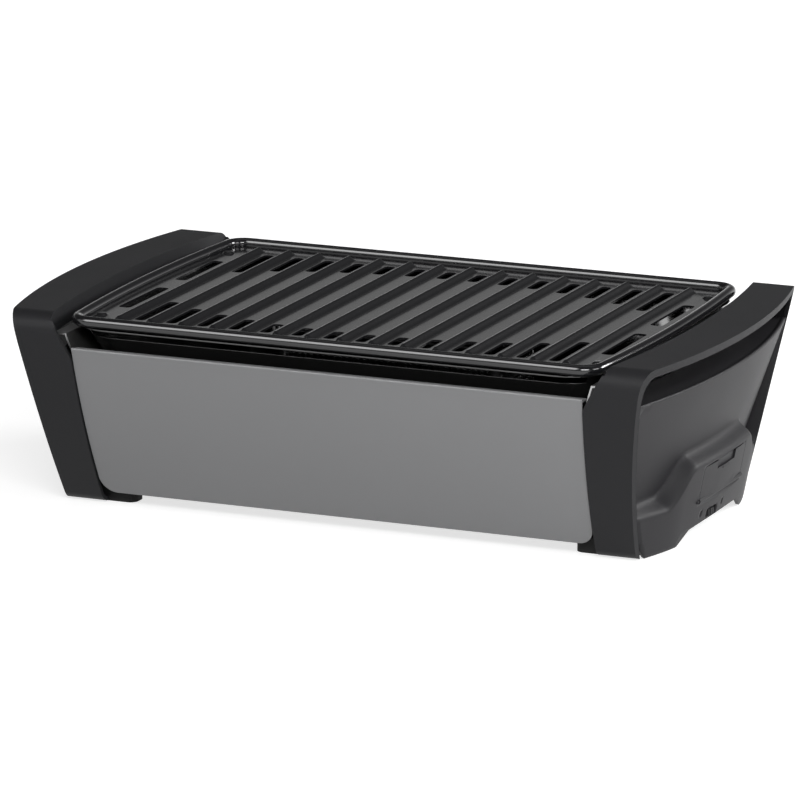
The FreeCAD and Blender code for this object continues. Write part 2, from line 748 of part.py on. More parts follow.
POD_STATIONS = (
    ("pod_half_length", 0.0, 0.0),
    ("pod_half_length - pod_fade / 2", 0.7, 0.0),
    ("pod_half_length - pod_fade", 1.0, 0.0),
    ("pod_climb_outer + 12", 1.0, 0.0),
    ("pod_climb_outer + 3", 1.0, 0.03),
    ("pod_climb_outer - (pod_climb_outer - pod_climb_inner) / 4", 1.0, 0.21),
    ("(pod_climb_outer + pod_climb_inner) / 2", 1.0, 0.5),
    ("pod_climb_inner + (pod_climb_outer - pod_climb_inner) / 4", 1.0, 0.79),
    ("pod_climb_inner - 3", 1.0, 0.97),
    ("pod_climb_inner - 12", 1.0, 1.0),
    ("pod_climb_inner / 2 - 6", 1.0, 1.0),
)


def end_point(y, height, offset):
    """X of the end surface moved out by the offset, at a bound Y and height."""
    rows = []
    for middle, radius in (("base_length / 2", "base_end_radius"),
                           ("overall_length / 2", "top_end_radius")):
        rows.append("(%s - %s + sqrt(%s ^ 2 - (%s) ^ 2))" % (middle, radius, radius, y))
    return ("(%s + (%s - %s) * (%s) / overall_height + (%s))"
            % (rows[0], rows[1], rows[0], height, offset))


def pod_section(name, y, share, climb, inset, depth):
    """Front view of the pod at one Y; the inset makes the hollow behind it."""
    crest = ("(pod_crest_low + (pod_crest_high - pod_crest_low) * %s - (%s) * 0.4)"
             % (climb, inset))
    top = "(%s + pod_shoulder)" % crest
    proud = "pod_rise * %s - (%s)" % (share, inset)
    flush = "-side_recess - (%s)" % inset
    corners = [
        (end_point(y, "0", depth), "0"),
        (end_point(y, "0", proud), "0"),
        (end_point(y, crest, proud), crest),
        (end_point(y, top, flush), top),
        (end_point(y, top, depth), top),
    ]
    return sketch_at(name, FRONT_VIEW, corners, y=y)


def pod_solid(name, inset, depth):
    """Ruled skin through sections from the front to the rear of the pod."""
    sections = []
    for index, (y, share, climb) in enumerate(POD_STATIONS):
        sections.append(pod_section("%sFront%d" % (name, index), "-(%s)" % y,
                                    share, climb, inset, depth))
    sections.append(pod_section(name + "Middle", "0", 1.0, 1.0, inset, depth))
    for index, (y, share, climb) in reversed(list(enumerate(POD_STATIONS))):
        sections.append(pod_section("%sRear%d" % (name, index), y, share, climb,
                                    inset, depth))
    return loft(name, sections)


def panel_outline(name, seam, low_cut, top):
    half = side_opening(name, seam, low_cut)
    half[-1] = (flank(top, "column_return + (%s)" % seam), top)
    corners = mirrored_outline(half)
    last = len(corners) - 2
    radius = "flank_radius - (column_return + (%s))" % seam
    return prism(name, SIDE_VIEW, corners, "X", "150",
                 arcs={3: radius, last - 3: radius}, x=END_START)


def make_side_panel_blank():
    """Plate in the opening, hidden rim behind the columns, pod and grip shelf."""
    field = panel_outline("SideField", "seam", "0", "grip_bottom_height")
    skin = end_layer("SideSkin", field, "-side_recess", "-(side_recess + side_wall)")
    rim = end_layer("SideRim",
                    cut("SideRimRing",
                        panel_outline("SideRimOutline",
                                      "frame_wall + seam - column_return",
                                      "frame_wall + seat_gap", "grip_bottom_height"),
                        panel_outline("SideRimInner", "seam + side_overlap",
                                      "frame_wall + side_overlap",
                                      "grip_bottom_height - side_overlap")),
                    "-(frame_wall + seat_gap)", "-(side_recess + side_wall * 2)")
    pod = common("SidePod", [field, pod_solid("SidePodShape", "0", "-side_wall")])
    hollow = common("SidePodHollow", [
        panel_outline("SideHollowOutline", "seam + side_overlap + side_wall",
                      "side_wall", "grip_bottom_height"),
        pod_solid("SideHollowShape", "side_wall", "-side_wall * 4")])
    shelf_corners = rectangle(
        "%s - shelf_depth" % end_surface("grip_bottom_height"),
        "%s" % end_surface("grip_bottom_height", "10"),
        "-%s" % flank("grip_bottom_height", "frame_wall + seam"),
        flank("grip_bottom_height", "frame_wall + seam"))
    shelf = common("SideShelf", [
        prism("SideShelfPlate", PLAN_VIEW, shelf_corners, "Z", "side_wall",
              z="grip_bottom_height - side_wall"),
        boat_prism("SideShelfBoat", "frame_wall + seam", "handle_thickness",
                   END_START, "150"),
        end_solid("SideShelfEnd", "-(frame_wall + seat_gap)")])
    return cut("SideBlank", fuse("SideShell", [skin, rim, pod, shelf]), hollow)


def door_outline(name, gap, view_start=END_START):
    """YZ outline of the battery door, or of its opening with a gap added."""
    low = "door_centre - door_length / 2 - (%s)" % gap
    high = "door_centre + door_length / 2 + (%s)" % gap
    corners = rectangle(low, high, "door_bottom_height - (%s)" % gap,
                        "door_top_height + (%s)" % gap)
    return prism(name, SIDE_VIEW, corners, "X", "150",
                 rounds=rounded("door_corner_radius + (%s)" % gap, (2, 3)),
                 x=view_start)


HINGE_Z = "(door_bottom_height + hinge_radius)"
HINGE_X = "(%s - hinge_depth)" % end_surface(HINGE_Z, "pod_rise")


def hinge_cylinder(name, radius, half_extra):
    return cylinder(name, radius, "door_length + 2 * (%s)" % half_extra,
                    HINGE_X, "door_centre - door_length / 2 - (%s)" % half_extra,
                    HINGE_Z, FreeCAD.Rotation(FreeCAD.Vector(1, 0, 0), -90))


def make_side_panels():
    blank = make_side_panel_blank()
    node(mirror("LeftSide", blank, "X"), "left_side_panel")
    tunnel = cut("SideTunnel",
                 common("SideTunnelOuter", [
                     door_outline("SideTunnelWall", "seam + tunnel_wall", "tunnel_face"),
                     end_solid("SideTunnelEnd", "pod_rise - side_wall / 2")]),
                 door_outline("SideTunnelHole", "seam"))
    window = prism("SideWindow", SIDE_VIEW,
                   rectangle("dial_centre - window_length / 2",
                             "dial_centre + window_length / 2",
                             "window_bottom_height", "window_top_height"),
                   "X", "150", rounds=rounded("window_round", (2, 3)), x=END_START)
    vents = []
    for side in (-1, 1):
        middle = "(dial_centre + %d * vent_offset)" % side
        corners = [
            ("%s - vent_length / 2 - vent_height / 5" % middle, "vent_bottom_height"),
            ("%s + vent_length / 2 - vent_height / 5" % middle, "vent_bottom_height"),
            ("%s + vent_length / 2 + vent_height / 5" % middle,
             "vent_bottom_height + vent_height"),
            ("%s - vent_length / 2 + vent_height / 5" % middle,
             "vent_bottom_height + vent_height")]
        vents.append(prism("SideVent%d" % (side + 1), SIDE_VIEW, corners, "X", "150",
                           x=END_START))
    opened = cut("SideOpened", fuse("SideJoined", [blank, tunnel]), fuse(
        "SideHoles", [door_outline("SideDoorHole", "seam"), window,
                      hinge_cylinder("SideHingeHole",
                                     "hinge_pin_radius + hinge_clearance",
                                     "hinge_pin_length + seam")] + vents))
    node(opened, "right_side_panel")


# Battery door on its hinge pins, with a finger recess and a spring tongue


def make_battery_door():
    plate = end_layer("DoorPlate", door_outline("DoorOutline", "0"),
                      "pod_rise", "pod_rise - door_wall")
    foot_cut = box("DoorFootCut", "40", "door_length + 2", "hinge_radius + 1",
                   "%s - 20" % HINGE_X, "door_centre - door_length / 2 - 1",
                   "door_bottom_height - 1")
    barrel = hinge_cylinder("DoorBarrel", "hinge_radius", "0")
    pins = hinge_cylinder("DoorPins", "hinge_pin_radius", "hinge_pin_length")
    recess = end_layer("DoorRecess", prism(
        "DoorRecessOutline", SIDE_VIEW,
        rectangle("door_centre - latch_length / 2", "door_centre + latch_length / 2",
                  "door_top_height - latch_height", "door_top_height + 5"),
        "X", "150", x=END_START), "pod_rise + 5", "pod_rise - latch_depth")
    web = box("DoorWeb", "hinge_depth - door_wall / 2", "door_length",
              "hinge_radius * 2", HINGE_X, "door_centre - door_length / 2",
              HINGE_Z)
    tongue_x = "%s - door_wall - latch_tongue_wall" % end_surface(
        "door_top_height", "pod_rise")
    tongue = box("DoorTongue", "latch_tongue_wall + door_wall / 2",
                 "latch_tongue_length", "latch_tongue_height",
                 tongue_x, "door_centre - latch_tongue_length / 2",
                 "door_top_height - latch_tongue_height")
    solid = fuse("DoorJoined", [cut("DoorTrimmed", plate, foot_cut), barrel, pins,
                                common("DoorWebIn", [web, end_solid(
                                    "DoorWebEnd", "pod_rise - 0.2")]), tongue])
    node(cut("BatteryDoor", solid, recess), "battery_door")


def make_door_contacts():
    """Two strips on the door, each joining a pair of cells."""
    strips = []
    inner = "pod_rise - door_wall - seat_gap"
    for side in (-1, 1):
        middle = "(door_centre + %d * cell_pitch)" % side
        outline = prism("DoorContactOutline%s" % "AB"[side > 0], SIDE_VIEW, rectangle(
            "%s - contact_length / 2" % middle, "%s + contact_length / 2" % middle,
            "%s - contact_height / 2" % CELL_AXIS,
            "%s + contact_height / 2" % CELL_AXIS), "X", "150", x=END_START)
        strips.append(end_layer("DoorContact%s" % "AB"[side > 0], outline,
                                inner, "%s - contact_strip" % inner))
    node(group("DoorContacts", strips), "door_contacts")


# Battery box behind the door, its cells and the contact springs

CELL_AXIS = "((door_bottom_height + door_top_height) / 2)"
BOX_OUT = "(tunnel_face - seat_gap)"
SPRING_FOOT = "(cell_face - cell_length - cell_cap_length - spring_length)"
CELL_WIDTH = "(cell_pitch * cell_count + 2 * cell_clearance)"
CELL_ROOM = "(2 * cell_radius + 2 * cell_clearance)"


def along_x():
    return FreeCAD.Rotation(FreeCAD.Vector(0, 1, 0), 90)


def cell_y(index):
    return "(door_centre + cell_pitch * (%d - (cell_count - 1) / 2))" % index


def make_battery_box():
    body = doc.addObject("PartDesign::Body", "BatteryBoxBody")
    front = body_sketch(body, "BoxOutline", "YZ_Plane", rectangle(
        "door_centre - %s / 2 - box_wall" % CELL_WIDTH,
        "door_centre + %s / 2 + box_wall" % CELL_WIDTH,
        "%s - %s / 2 - box_wall" % (CELL_AXIS, CELL_ROOM),
        "%s + %s / 2 + box_wall" % (CELL_AXIS, CELL_ROOM)),
        offset="%s - box_wall" % SPRING_FOOT)
    pad(body, "BoxPad", front, "%s - %s + box_wall" % (BOX_OUT, SPRING_FOOT))
    flange = body_sketch(body, "BoxFlangeOutline", "YZ_Plane", rectangle(
        "door_centre - %s / 2 - box_flange" % CELL_WIDTH,
        "door_centre + %s / 2 + box_flange" % CELL_WIDTH,
        "%s - %s / 2 - box_flange" % (CELL_AXIS, CELL_ROOM),
        "%s + %s / 2 + box_flange" % (CELL_AXIS, CELL_ROOM)),
        offset="%s - box_wall" % BOX_OUT)
    pad(body, "BoxFlange", flange, "box_wall")
    room = body_sketch(body, "BoxRoomOutline", "YZ_Plane", rectangle(
        "door_centre - %s / 2" % CELL_WIDTH, "door_centre + %s / 2" % CELL_WIDTH,
        "%s - %s / 2" % (CELL_AXIS, CELL_ROOM), "%s + %s / 2" % (CELL_AXIS, CELL_ROOM)),
        offset=SPRING_FOOT)
    pocket(body, "BoxRoom", room, "%s - %s + 1" % (BOX_OUT, SPRING_FOOT))
    node(body, "battery_box")


def make_cells():
    for index in range(int(VALUES["cell_count"])):
        can = cylinder("CellCan%d" % index, "cell_radius", "cell_length",
                       "cell_face - cell_length", cell_y(index), CELL_AXIS, along_x())
        cap = cylinder("CellCap%d" % index, "cell_cap_radius", "cell_cap_length",
                       "cell_face - cell_length - cell_cap_length", cell_y(index),
                       CELL_AXIS, along_x())
        node(fuse("Cell%d" % index, [can, cap]), "battery_cell_%d" % (index + 1))


def make_contacts():
    springs = []
    for index in range(int(VALUES["cell_count"])):
        cone = doc.addObject("Part::Cone", "Spring%d" % index)
        bind(cone, "Radius1", "spring_radius")
        bind(cone, "Radius2", "spring_tip_radius")
        bind(cone, "Height", "spring_length - seat_gap")
        springs.append(place(cone, SPRING_FOOT, cell_y(index), CELL_AXIS, along_x()))
    node(group("ContactSprings", springs), "contact_springs")


# PartDesign helpers


def origin_plane(body, role):
    for feature in body.Origin.OriginFeatures:
        if feature.Role == role:
            return feature
    raise ValueError(role)


def body_sketch(body, name, role, corners, arcs=None, rounds=None, offset="0"):
    sketch = body.newObject("Sketcher::SketchObject", name)
    sketch.AttachmentSupport = [(origin_plane(body, role), "")]
    sketch.MapMode = "FlatFace"
    draw(sketch, corners, arcs, rounds)
    bind(sketch, "AttachmentOffset.Base.z", offset)
    return sketch


def pad(body, name, sketch, length):
    feature = body.newObject("PartDesign::Pad", name)
    feature.Profile = sketch
    bind(feature, "Length", length)
    sketch.Visibility = False
    return feature


def pocket(body, name, sketch, length):
    """Cut along the sketch normal."""
    feature = body.newObject("PartDesign::Pocket", name)
    feature.Profile = sketch
    feature.Reversed = True
    bind(feature, "Length", length)
    return feature


def turn(body, name, sketch):
    """Full turn of a sketch about the vertical axis of its body."""
    feature = body.newObject("PartDesign::Revolution", name)
    feature.Profile = sketch
    feature.ReferenceAxis = (origin_plane(body, "Z_Axis"), [""])
    feature.Angle = 360
    return feature


# Fan speed wheel, its control and the board


def make_dial():
    disc = cylinder("DialDisc", "dial_radius", "dial_thickness",
                    dial_axis(), "dial_centre", "dial_height")
    cuts = [cylinder("DialBore", "dial_shaft_radius + dial_shaft_fit",
                     "dial_thickness + 2", dial_axis(), "dial_centre",
                     "dial_height - 1")]
    for index in range(int(VALUES["dial_grips"])):
        angle = 360.0 * index / VALUES["dial_grips"]
        notch = cylinder("DialNotch%d" % index, "dial_notch_radius",
                         "dial_thickness + 2",
                         "%s + dial_radius * cos(%.4f)" % (dial_axis(), angle),
                         "dial_centre + dial_radius * sin(%.4f)" % angle,
                         "dial_height - 1")
        cuts.append(notch)
    node(cut("FanDial", disc, fuse("DialCuts", cuts)), "fan_dial")
    pot = cylinder("PotBody", "pot_radius", "pot_height", dial_axis(), "dial_centre",
                   "dial_height + dial_thickness + pot_gap")
    spindle = cylinder("PotSpindle", "dial_shaft_radius",
                       "dial_thickness + pot_gap + pot_height / 2",
                       dial_axis(), "dial_centre", "dial_height")
    node(fuse("SpeedControl", [pot, spindle]), "speed_control")
    board = box("BoardPlate", "board_length", "board_depth", "board_thickness",
                "%s + board_overhang - board_length" % dial_axis(),
                "dial_centre - board_depth / 2", BOARD_HEIGHT)
    holes = [cylinder("BoardHole%d" % index, "screw_radius + screw_clearance",
                      "board_thickness + 2", x, y, "%s - 1" % BOARD_HEIGHT)
             for index, (x, y) in enumerate(board_posts())]
    node(cut("ControlBoard", board, fuse("BoardHoles", holes)), "control_board")


# Front and rear panels


def make_panels():
    skin = "panel_recess"
    back = "(panel_recess + sheet)"
    low, high = "panel_bottom_height", "panel_top_height"
    base = BASE_HEIGHT
    edge = flank(low, skin)
    corners = [
        (edge, low),
        (flank(high, skin), high),
        ("%s - panel_lip_depth" % flank(high, skin), high),
        ("%s - panel_lip_depth" % flank(high, skin), "panel_top_height - sheet"),
        (flank("panel_top_height - sheet", back), "panel_top_height - sheet"),
        (flank(base, back), "%s - seat_gap" % base),
        ("%s - panel_flange_depth" % edge, "%s - seat_gap" % base),
        ("%s - panel_flange_depth" % edge, "%s - seat_gap - sheet" % base),
        ("%s - 4" % edge, "%s - seat_gap - sheet" % base),
        ("%s - 4" % edge, low),
    ]
    sheet_solid = prism("PanelSheet", SIDE_VIEW, corners, "X", "overall_length",
                        arcs={0: "flank_radius - %s" % skin,
                              4: "-(flank_radius - %s)" % back}, symmetric=True)
    bead = cylinder("PanelBead", "panel_bead_radius", "overall_length",
                    "-overall_length / 2",
                    "%s - panel_bead_radius" % flank(high, skin), high, along_x())
    low_edge = "(column_edge_foot - seam)"
    high_edge = ("(column_edge_foot + (column_edge_knee - column_edge_foot)"
                 " * (panel_top_height + 5) / (knee_height + 5) - seam)")
    face = prism("PanelFace", FRONT_VIEW, [
        ("-%s" % low_edge, low), (low_edge, low),
        (high_edge, "panel_top_height + 5"), ("-%s" % high_edge, "panel_top_height + 5")],
        "Y", "overall_depth + 40",
        rounds=rounded("panel_corner_radius", (0, 1)), symmetric=True)
    rear = common("RearPanel", [fuse("PanelJoined", [sheet_solid, bead]), face])
    node(rear, "rear_panel")
    node(mirror("FrontPanel", rear, "Y"), "front_panel")


BASE_HEIGHT = "(frame_lift + arch_height + frame_wall + seat_gap)"
BASE_TOP = "(%s + sheet)" % BASE_HEIGHT


# Base plate with its air inlet


def make_base_plate():
    body = doc.addObject("PartDesign::Body", "BasePlateBody")
    outline = body_sketch(body, "BasePlateOutline", "XY_Plane",
                          centred("base_plate_length", "base_plate_depth"),
                          rounds=rounded("8"), offset=BASE_HEIGHT)
    pad(body, "BasePlatePad", outline, "sheet")
    for index in range(int(VALUES["inlet_slots"])):
        y = "(inlet_pitch * (%d - (inlet_slots - 1) / 2))" % index
        for side in (-1, 1):
            x = "%d * (inlet_slot_length / 2 + 2)" % side
            slot = body_sketch(
                body, "Inlet%d%s" % (index, "AB"[side > 0]), "XY_Plane",
                rectangle("%s - inlet_slot_length / 2" % x,
                          "%s + inlet_slot_length / 2" % x,
                          "%s - inlet_slot_width / 2" % y,
                          "%s + inlet_slot_width / 2" % y),
                offset="%s - 1" % BASE_HEIGHT)
            pocket(body, slot.Name + "Cut", slot, "sheet + 2")
    places = [("%d * %s" % (side, x), y)
              for x, y in frame_screw_places() for side in (-1, 1)]
    for index, (x, y) in enumerate(places + fan_screw_places()):
        hole = body.newObject("PartDesign::SubtractiveCylinder",
                              "BaseScrewHole%d" % index)
        bind(hole, "Radius", "screw_radius + screw_clearance")
        bind(hole, "Height", "sheet + 2")
        place(hole, x, y, "%s - 1" % BASE_HEIGHT)
    node(body, "base_plate")


# One kind of screw, for both frames, the fan and the control board


def make_screws():
    places = []
    for x, y in frame_screw_places():
        for side in (-1, 1):
            places.append(("%d * %s" % (side, x), y, "frame_lift + arch_height", False))
    for x, y in fan_screw_places():
        places.append((x, y, BASE_HEIGHT, False))
    for x, y in board_posts():
        places.append((x, y, "%s + board_thickness" % BOARD_HEIGHT, True))
    screws = []
    for index, (x, y, face, down) in enumerate(places):
        over = FreeCAD.Rotation(FreeCAD.Vector(1, 0, 0), 180 if down else 0)
        sign = 1 if down else -1
        head = cylinder("ScrewHead%d" % index, "screw_head_radius",
                        "screw_head_height", x, y,
                        "%s + %d * screw_head_height" % (face, sign), over)
        shank = cylinder("ScrewShank%d" % index, "screw_radius", "screw_length",
                         x, y, face, over)
        screws.append(fuse("Screw%d" % index, [head, shank]))
    node(group("CaseScrews", screws), "case_screws")


# Inner walls between the bowl and the end frames


def make_inner_walls():
    top = "(bowl_rim_height - thin_sheet - seat_gap)"
    lean = "(sheet * sqrt(1 + ((inner_wall_top - inner_wall_foot) / (%s - %s)) ^ 2))" % (
        top, BASE_TOP)
    run = "((inner_wall_top - inner_wall_foot) * sheet / (%s - %s))" % (top, BASE_TOP)
    corners = [
        ("inner_wall_foot", BASE_TOP),
        ("inner_wall_foot + inner_wall_flange", BASE_TOP),
        ("inner_wall_foot + inner_wall_flange", "%s + sheet" % BASE_TOP),
        ("inner_wall_foot + %s + %s" % (lean, run), "%s + sheet" % BASE_TOP),
        ("inner_wall_top + %s - %s" % (lean, run), "%s - sheet" % top),
        ("inner_wall_top + inner_wall_ledge", "%s - sheet" % top),
        ("inner_wall_top + inner_wall_ledge", top),
        ("inner_wall_top", top),
    ]
    plate = prism("InnerWallPlate", FRONT_VIEW, corners, "Y", "overall_depth",
                  symmetric=True)
    inside = "frame_wall + panel_recess + sheet"
    boat = boat_prism("InnerWallBoat", inside, inside, "120", "110")
    right = common("RightInnerWall", [plate, boat])
    node(right, "right_inner_wall")
    node(mirror("LeftInnerWall", right, "X"), "left_inner_wall")


# Drawn bowl with a flange, a notch front and rear, and the air neck


def rounded_section(name, length, depth, radius, height):
    return sketch_at(name, PLAN_VIEW, centred(length, depth),
                     rounds=rounded(radius), z=height)


def tub(name, inset, low, high):
    """Tapered rounded tub, moved inwards by the inset."""
    def size(top, bottom, height):
        rise = "(bowl_rim_height - bowl_floor_height)"
        share = "(((%s) - bowl_floor_height) / %s)" % (height, rise)
        return ("((%s) + ((%s) - (%s)) * %s - 2 * (%s))"
                % (bottom, top, bottom, share, inset))
    sections = []
    for tag, height in (("Low", low), ("High", high)):
        sections.append(rounded_section(
            name + tag, size("bowl_rim_length", "bowl_floor_length", height),
            size("bowl_rim_depth", "bowl_floor_depth", height),
            "bowl_corner_radius - (%s)" % inset, height))
    return loft(name, sections)


def make_bowl():
    outer = tub("BowlOuter", "0", "bowl_floor_height", "bowl_rim_height")
    inner = tub("BowlInner", "thin_sheet", "bowl_floor_height + thin_sheet",
                "bowl_rim_height + 1")
    flange = prism("BowlFlange", PLAN_VIEW,
                   centred("bowl_rim_length + 2 * bowl_flange",
                           "bowl_rim_depth + 2 * bowl_flange"), "Z", "thin_sheet",
                   rounds=rounded("bowl_corner_radius + bowl_flange"),
                   z="bowl_rim_height - thin_sheet")
    notch = prism("BowlNotch", FRONT_VIEW, rectangle(
        "-bowl_notch_length / 2", "bowl_notch_length / 2", "bowl_notch_height",
        "bowl_rim_height + 5"), "Y", "overall_depth",
        rounds=rounded("3", (0, 1)), symmetric=True)
    keep = prism("BowlNotchKeep", PLAN_VIEW, rectangle(
        "-overall_length / 2", "overall_length / 2", "-bowl_rim_depth / 2 + 8",
        "bowl_rim_depth / 2 - 8"), "Z", "overall_height")
    neck = cylinder("BowlNeck", "neck_radius + thin_sheet",
                    "neck_height + thin_sheet", z="bowl_floor_height")
    hole = cylinder("BowlNeckHole", "neck_radius", "neck_height + 10",
                    z="bowl_floor_height - 2")
    shell = cut("BowlShell", fuse("BowlSolid", [outer, flange]), inner)
    bowl = cut("Bowl", fuse("BowlJoined", [shell, neck]),
               fuse("BowlCuts", [hole, cut("BowlNotches", notch, keep)]))
    node(bowl, "bowl")


# Starter dish round the air neck


def make_dish():
    floor = "(bowl_floor_height + thin_sheet + seat_gap)"
    outer = prism("DishOuter", PLAN_VIEW, centred("dish_length", "dish_depth"), "Z",
                  "dish_height", rounds=rounded("dish_corner_radius"), z=floor)
    inner = prism("DishInner", PLAN_VIEW,
                  centred("dish_length - 2 * thin_sheet", "dish_depth - 2 * thin_sheet"),
                  "Z", "dish_height", rounds=rounded("dish_corner_radius - thin_sheet"),
                  z="%s + thin_sheet" % floor)
    bore = "neck_radius + thin_sheet + dish_clearance"
    ring = cylinder("DishRing", "%s + thin_sheet" % bore, "dish_height", z=floor)
    hole = cylinder("DishHole", bore, "dish_height + 2", z="%s - 1" % floor)
    dish = cut("Dish", fuse("DishJoined", [cut("DishShell", outer, inner), ring]), hole)
    node(dish, "starter_dish")


# Charcoal basket: perforated walls on a skirt, with a perforated floor


def wall_openings(tag, axis, count, reach):
    """Rows of openings through two opposite walls."""
    holes = []
    low = "(basket_floor_height + thin_sheet + 5)"
    for row in range(int(VALUES["basket_rows"])):
        for index in range(int(VALUES[count])):
            along = ("(basket_hole_pitch * (%d - (%s - 1) / 2) - basket_hole_width / 2)"
                     % (index, count))
            z = "%s + basket_row_pitch * %d" % (low, row)
            name = "Basket%s%d_%d" % (tag, row, index)
            if axis == "Y":
                holes.append(box(name, "basket_hole_width", reach,
                                 "basket_hole_height", along, "-(%s) / 2" % reach, z))
            else:
                holes.append(box(name, reach, "basket_hole_width",
                                 "basket_hole_height", "-(%s) / 2" % reach, along, z))
    return holes


def make_basket():
    floor = "(bowl_floor_height + thin_sheet + seat_gap)"
    outer = prism("BasketOuter", PLAN_VIEW, centred("basket_length", "basket_depth"),
                  "Z", "basket_top_height - %s" % floor,
                  rounds=rounded("basket_corner_radius"), z=floor)
    inside = "2 * thin_sheet"
    inner = prism("BasketInner", PLAN_VIEW,
                  centred("basket_length - %s" % inside, "basket_depth - %s" % inside),
                  "Z", "basket_top_height", z="basket_floor_height + thin_sheet",
                  rounds=rounded("basket_corner_radius - thin_sheet"))
    under = prism("BasketUnder", PLAN_VIEW,
                  centred("basket_length - %s" % inside, "basket_depth - %s" % inside),
                  "Z", "basket_floor_height - %s + 1" % floor, z="%s - 1" % floor,
                  rounds=rounded("basket_corner_radius - thin_sheet"))
    holes = wall_openings("Long", "Y", "basket_slots_long", "basket_depth + 4")
    holes += wall_openings("Short", "X", "basket_slots_short", "basket_length + 4")
    for index in range(9):
        holes.append(box("BasketGrid%d" % index, "8", "basket_depth - 20", "10",
                         "16 * (%d - 4) - 4" % index, "-(basket_depth - 20) / 2",
                         "basket_floor_height - 4"))
    shell = cut("BasketShell", outer, fuse("BasketRoom", [inner, under]))
    node(cut("Basket", shell, fuse("BasketHoles", holes)), "charcoal_basket")


# Stamped grate: hollow ribs, slots between them and a rolled bead


def grate_prism(name, inset, height, low):
    """Plan outline inside the bead line, with bowed ends and round corners."""
    length = "(grate_corner_length / 2 - (%s))" % inset
    depth = "(grate_depth / 2 - (%s))" % inset
    corners = [("-%s" % length, "-%s" % depth), (length, "-%s" % depth),
               (length, depth), ("-%s" % length, depth)]
    bow = "grate_end_radius - (%s)" % inset
    return prism(name, PLAN_VIEW, corners, "Z", height, arcs={1: bow, 3: bow},
                 rounds=rounded("grate_corner_radius - (%s)" % inset), z=low)


def rib(name, radius, length, x):
    """Round bar along Y with round noses, centred on the flat of the grate."""
    reach = "((%s) / 2 - rib_radius)" % length
    bar = cylinder(name + "Bar", radius, "2 * %s" % reach, x, "-%s" % reach,
                   "grate_floor_height", FreeCAD.Rotation(FreeCAD.Vector(1, 0, 0), -90))
    noses = []
    for side in (-1, 1):
        nose = doc.addObject("Part::Sphere", "%sNose%s" % (name, "AB"[side > 0]))
        bind(nose, "Radius", radius)
        noses.append(place(nose, x, "%d * %s" % (side, reach), "grate_floor_height"))
    return fuse(name, [bar] + noses)


def slot_prism(name, length, width, x, y):
    """Slot with round ends along Y through the flat of the grate."""
    corners = rectangle("%s - (%s) / 2" % (x, width), "%s + (%s) / 2" % (x, width),
                        "%s - (%s) / 2" % (y, length), "%s + (%s) / 2" % (y, length))
    return prism(name, PLAN_VIEW, corners, "Z", "grate_sheet + 2",
                 rounds=rounded("(%s) / 2 - seat_gap" % width),
                 z="grate_floor_height - grate_sheet - 1")


def make_grate():
    low = "grate_floor_height - grate_sheet"
    plate = grate_prism("GratePlate", "bead_radius", "grate_sheet", low)
    rim_outer = grate_prism("GrateRimOuter", "0", "bead_height + bead_radius - (%s)" % low,
                            low)
    rim_inner = grate_prism("GrateRimInner", "2 * bead_radius", "20", "%s - 1" % low)
    rim = cut("GrateRim", rim_outer, rim_inner)
    bead = doc.addObject("Part::Fillet", "GrateBead")
    bead.Base = rim
    doc.recompute()
    top = number_of("bead_height + bead_radius")
    wanted = []
    for index, edge in enumerate(rim.Shape.Edges, start=1):
        flat = edge.BoundBox
        if flat.ZMin > top - 0.01:
            radius = number_of("bead_radius") - 0.05
            wanted.append((index, radius, radius))
    bead.Edges = wanted
    ribs = []
    hollows = []
    slots = []
    middle = "(rib_count - 1) / 2"
    for index in range(int(VALUES["rib_count"])):
        x = "(rib_pitch * (%d - %s))" % (index, middle)
        ribs.append(rib("Rib%d" % index, "rib_radius", "rib_length", x))
        hollows.append(rib("RibHollow%d" % index, "rib_radius - grate_sheet",
                           "rib_length", x))
    for index in range(int(VALUES["rib_count"]) - 1):
        x = "(rib_pitch * (%d + 0.5 - %s))" % (index, middle)
        for side in (-1, 1):
            slots.append(slot_prism("Slot%d%s" % (index, "AB"[side > 0]),
                                    "grate_slot_length", "grate_slot_width",
                                    x, "(%d * grate_slot_centre)" % side))
    for side in (-1, 1):
        x = "(%d * (rib_pitch * %s + end_slot_offset))" % (side, middle)
        for half in (-1, 1):
            slots.append(slot_prism(
                "EndSlot%s%s" % ("AB"[side > 0], "AB"[half > 0]), "end_slot_length",
                "end_slot_width", x, "(%d * end_slot_length * 0.6)" % half))
    above = grate_prism("RibAbove", "bead_radius", "30", low)
    raised = common("RibsAbove", [fuse("Ribs", ribs), above])
    body = fuse("GrateSolid", [plate, bead, raised])
    cuts = fuse("GrateCuts", hollows + slots)
    node(cut("Grate", body, cuts), "grill_grate")


# Fan: frame with spokes, motor, shaft and impeller


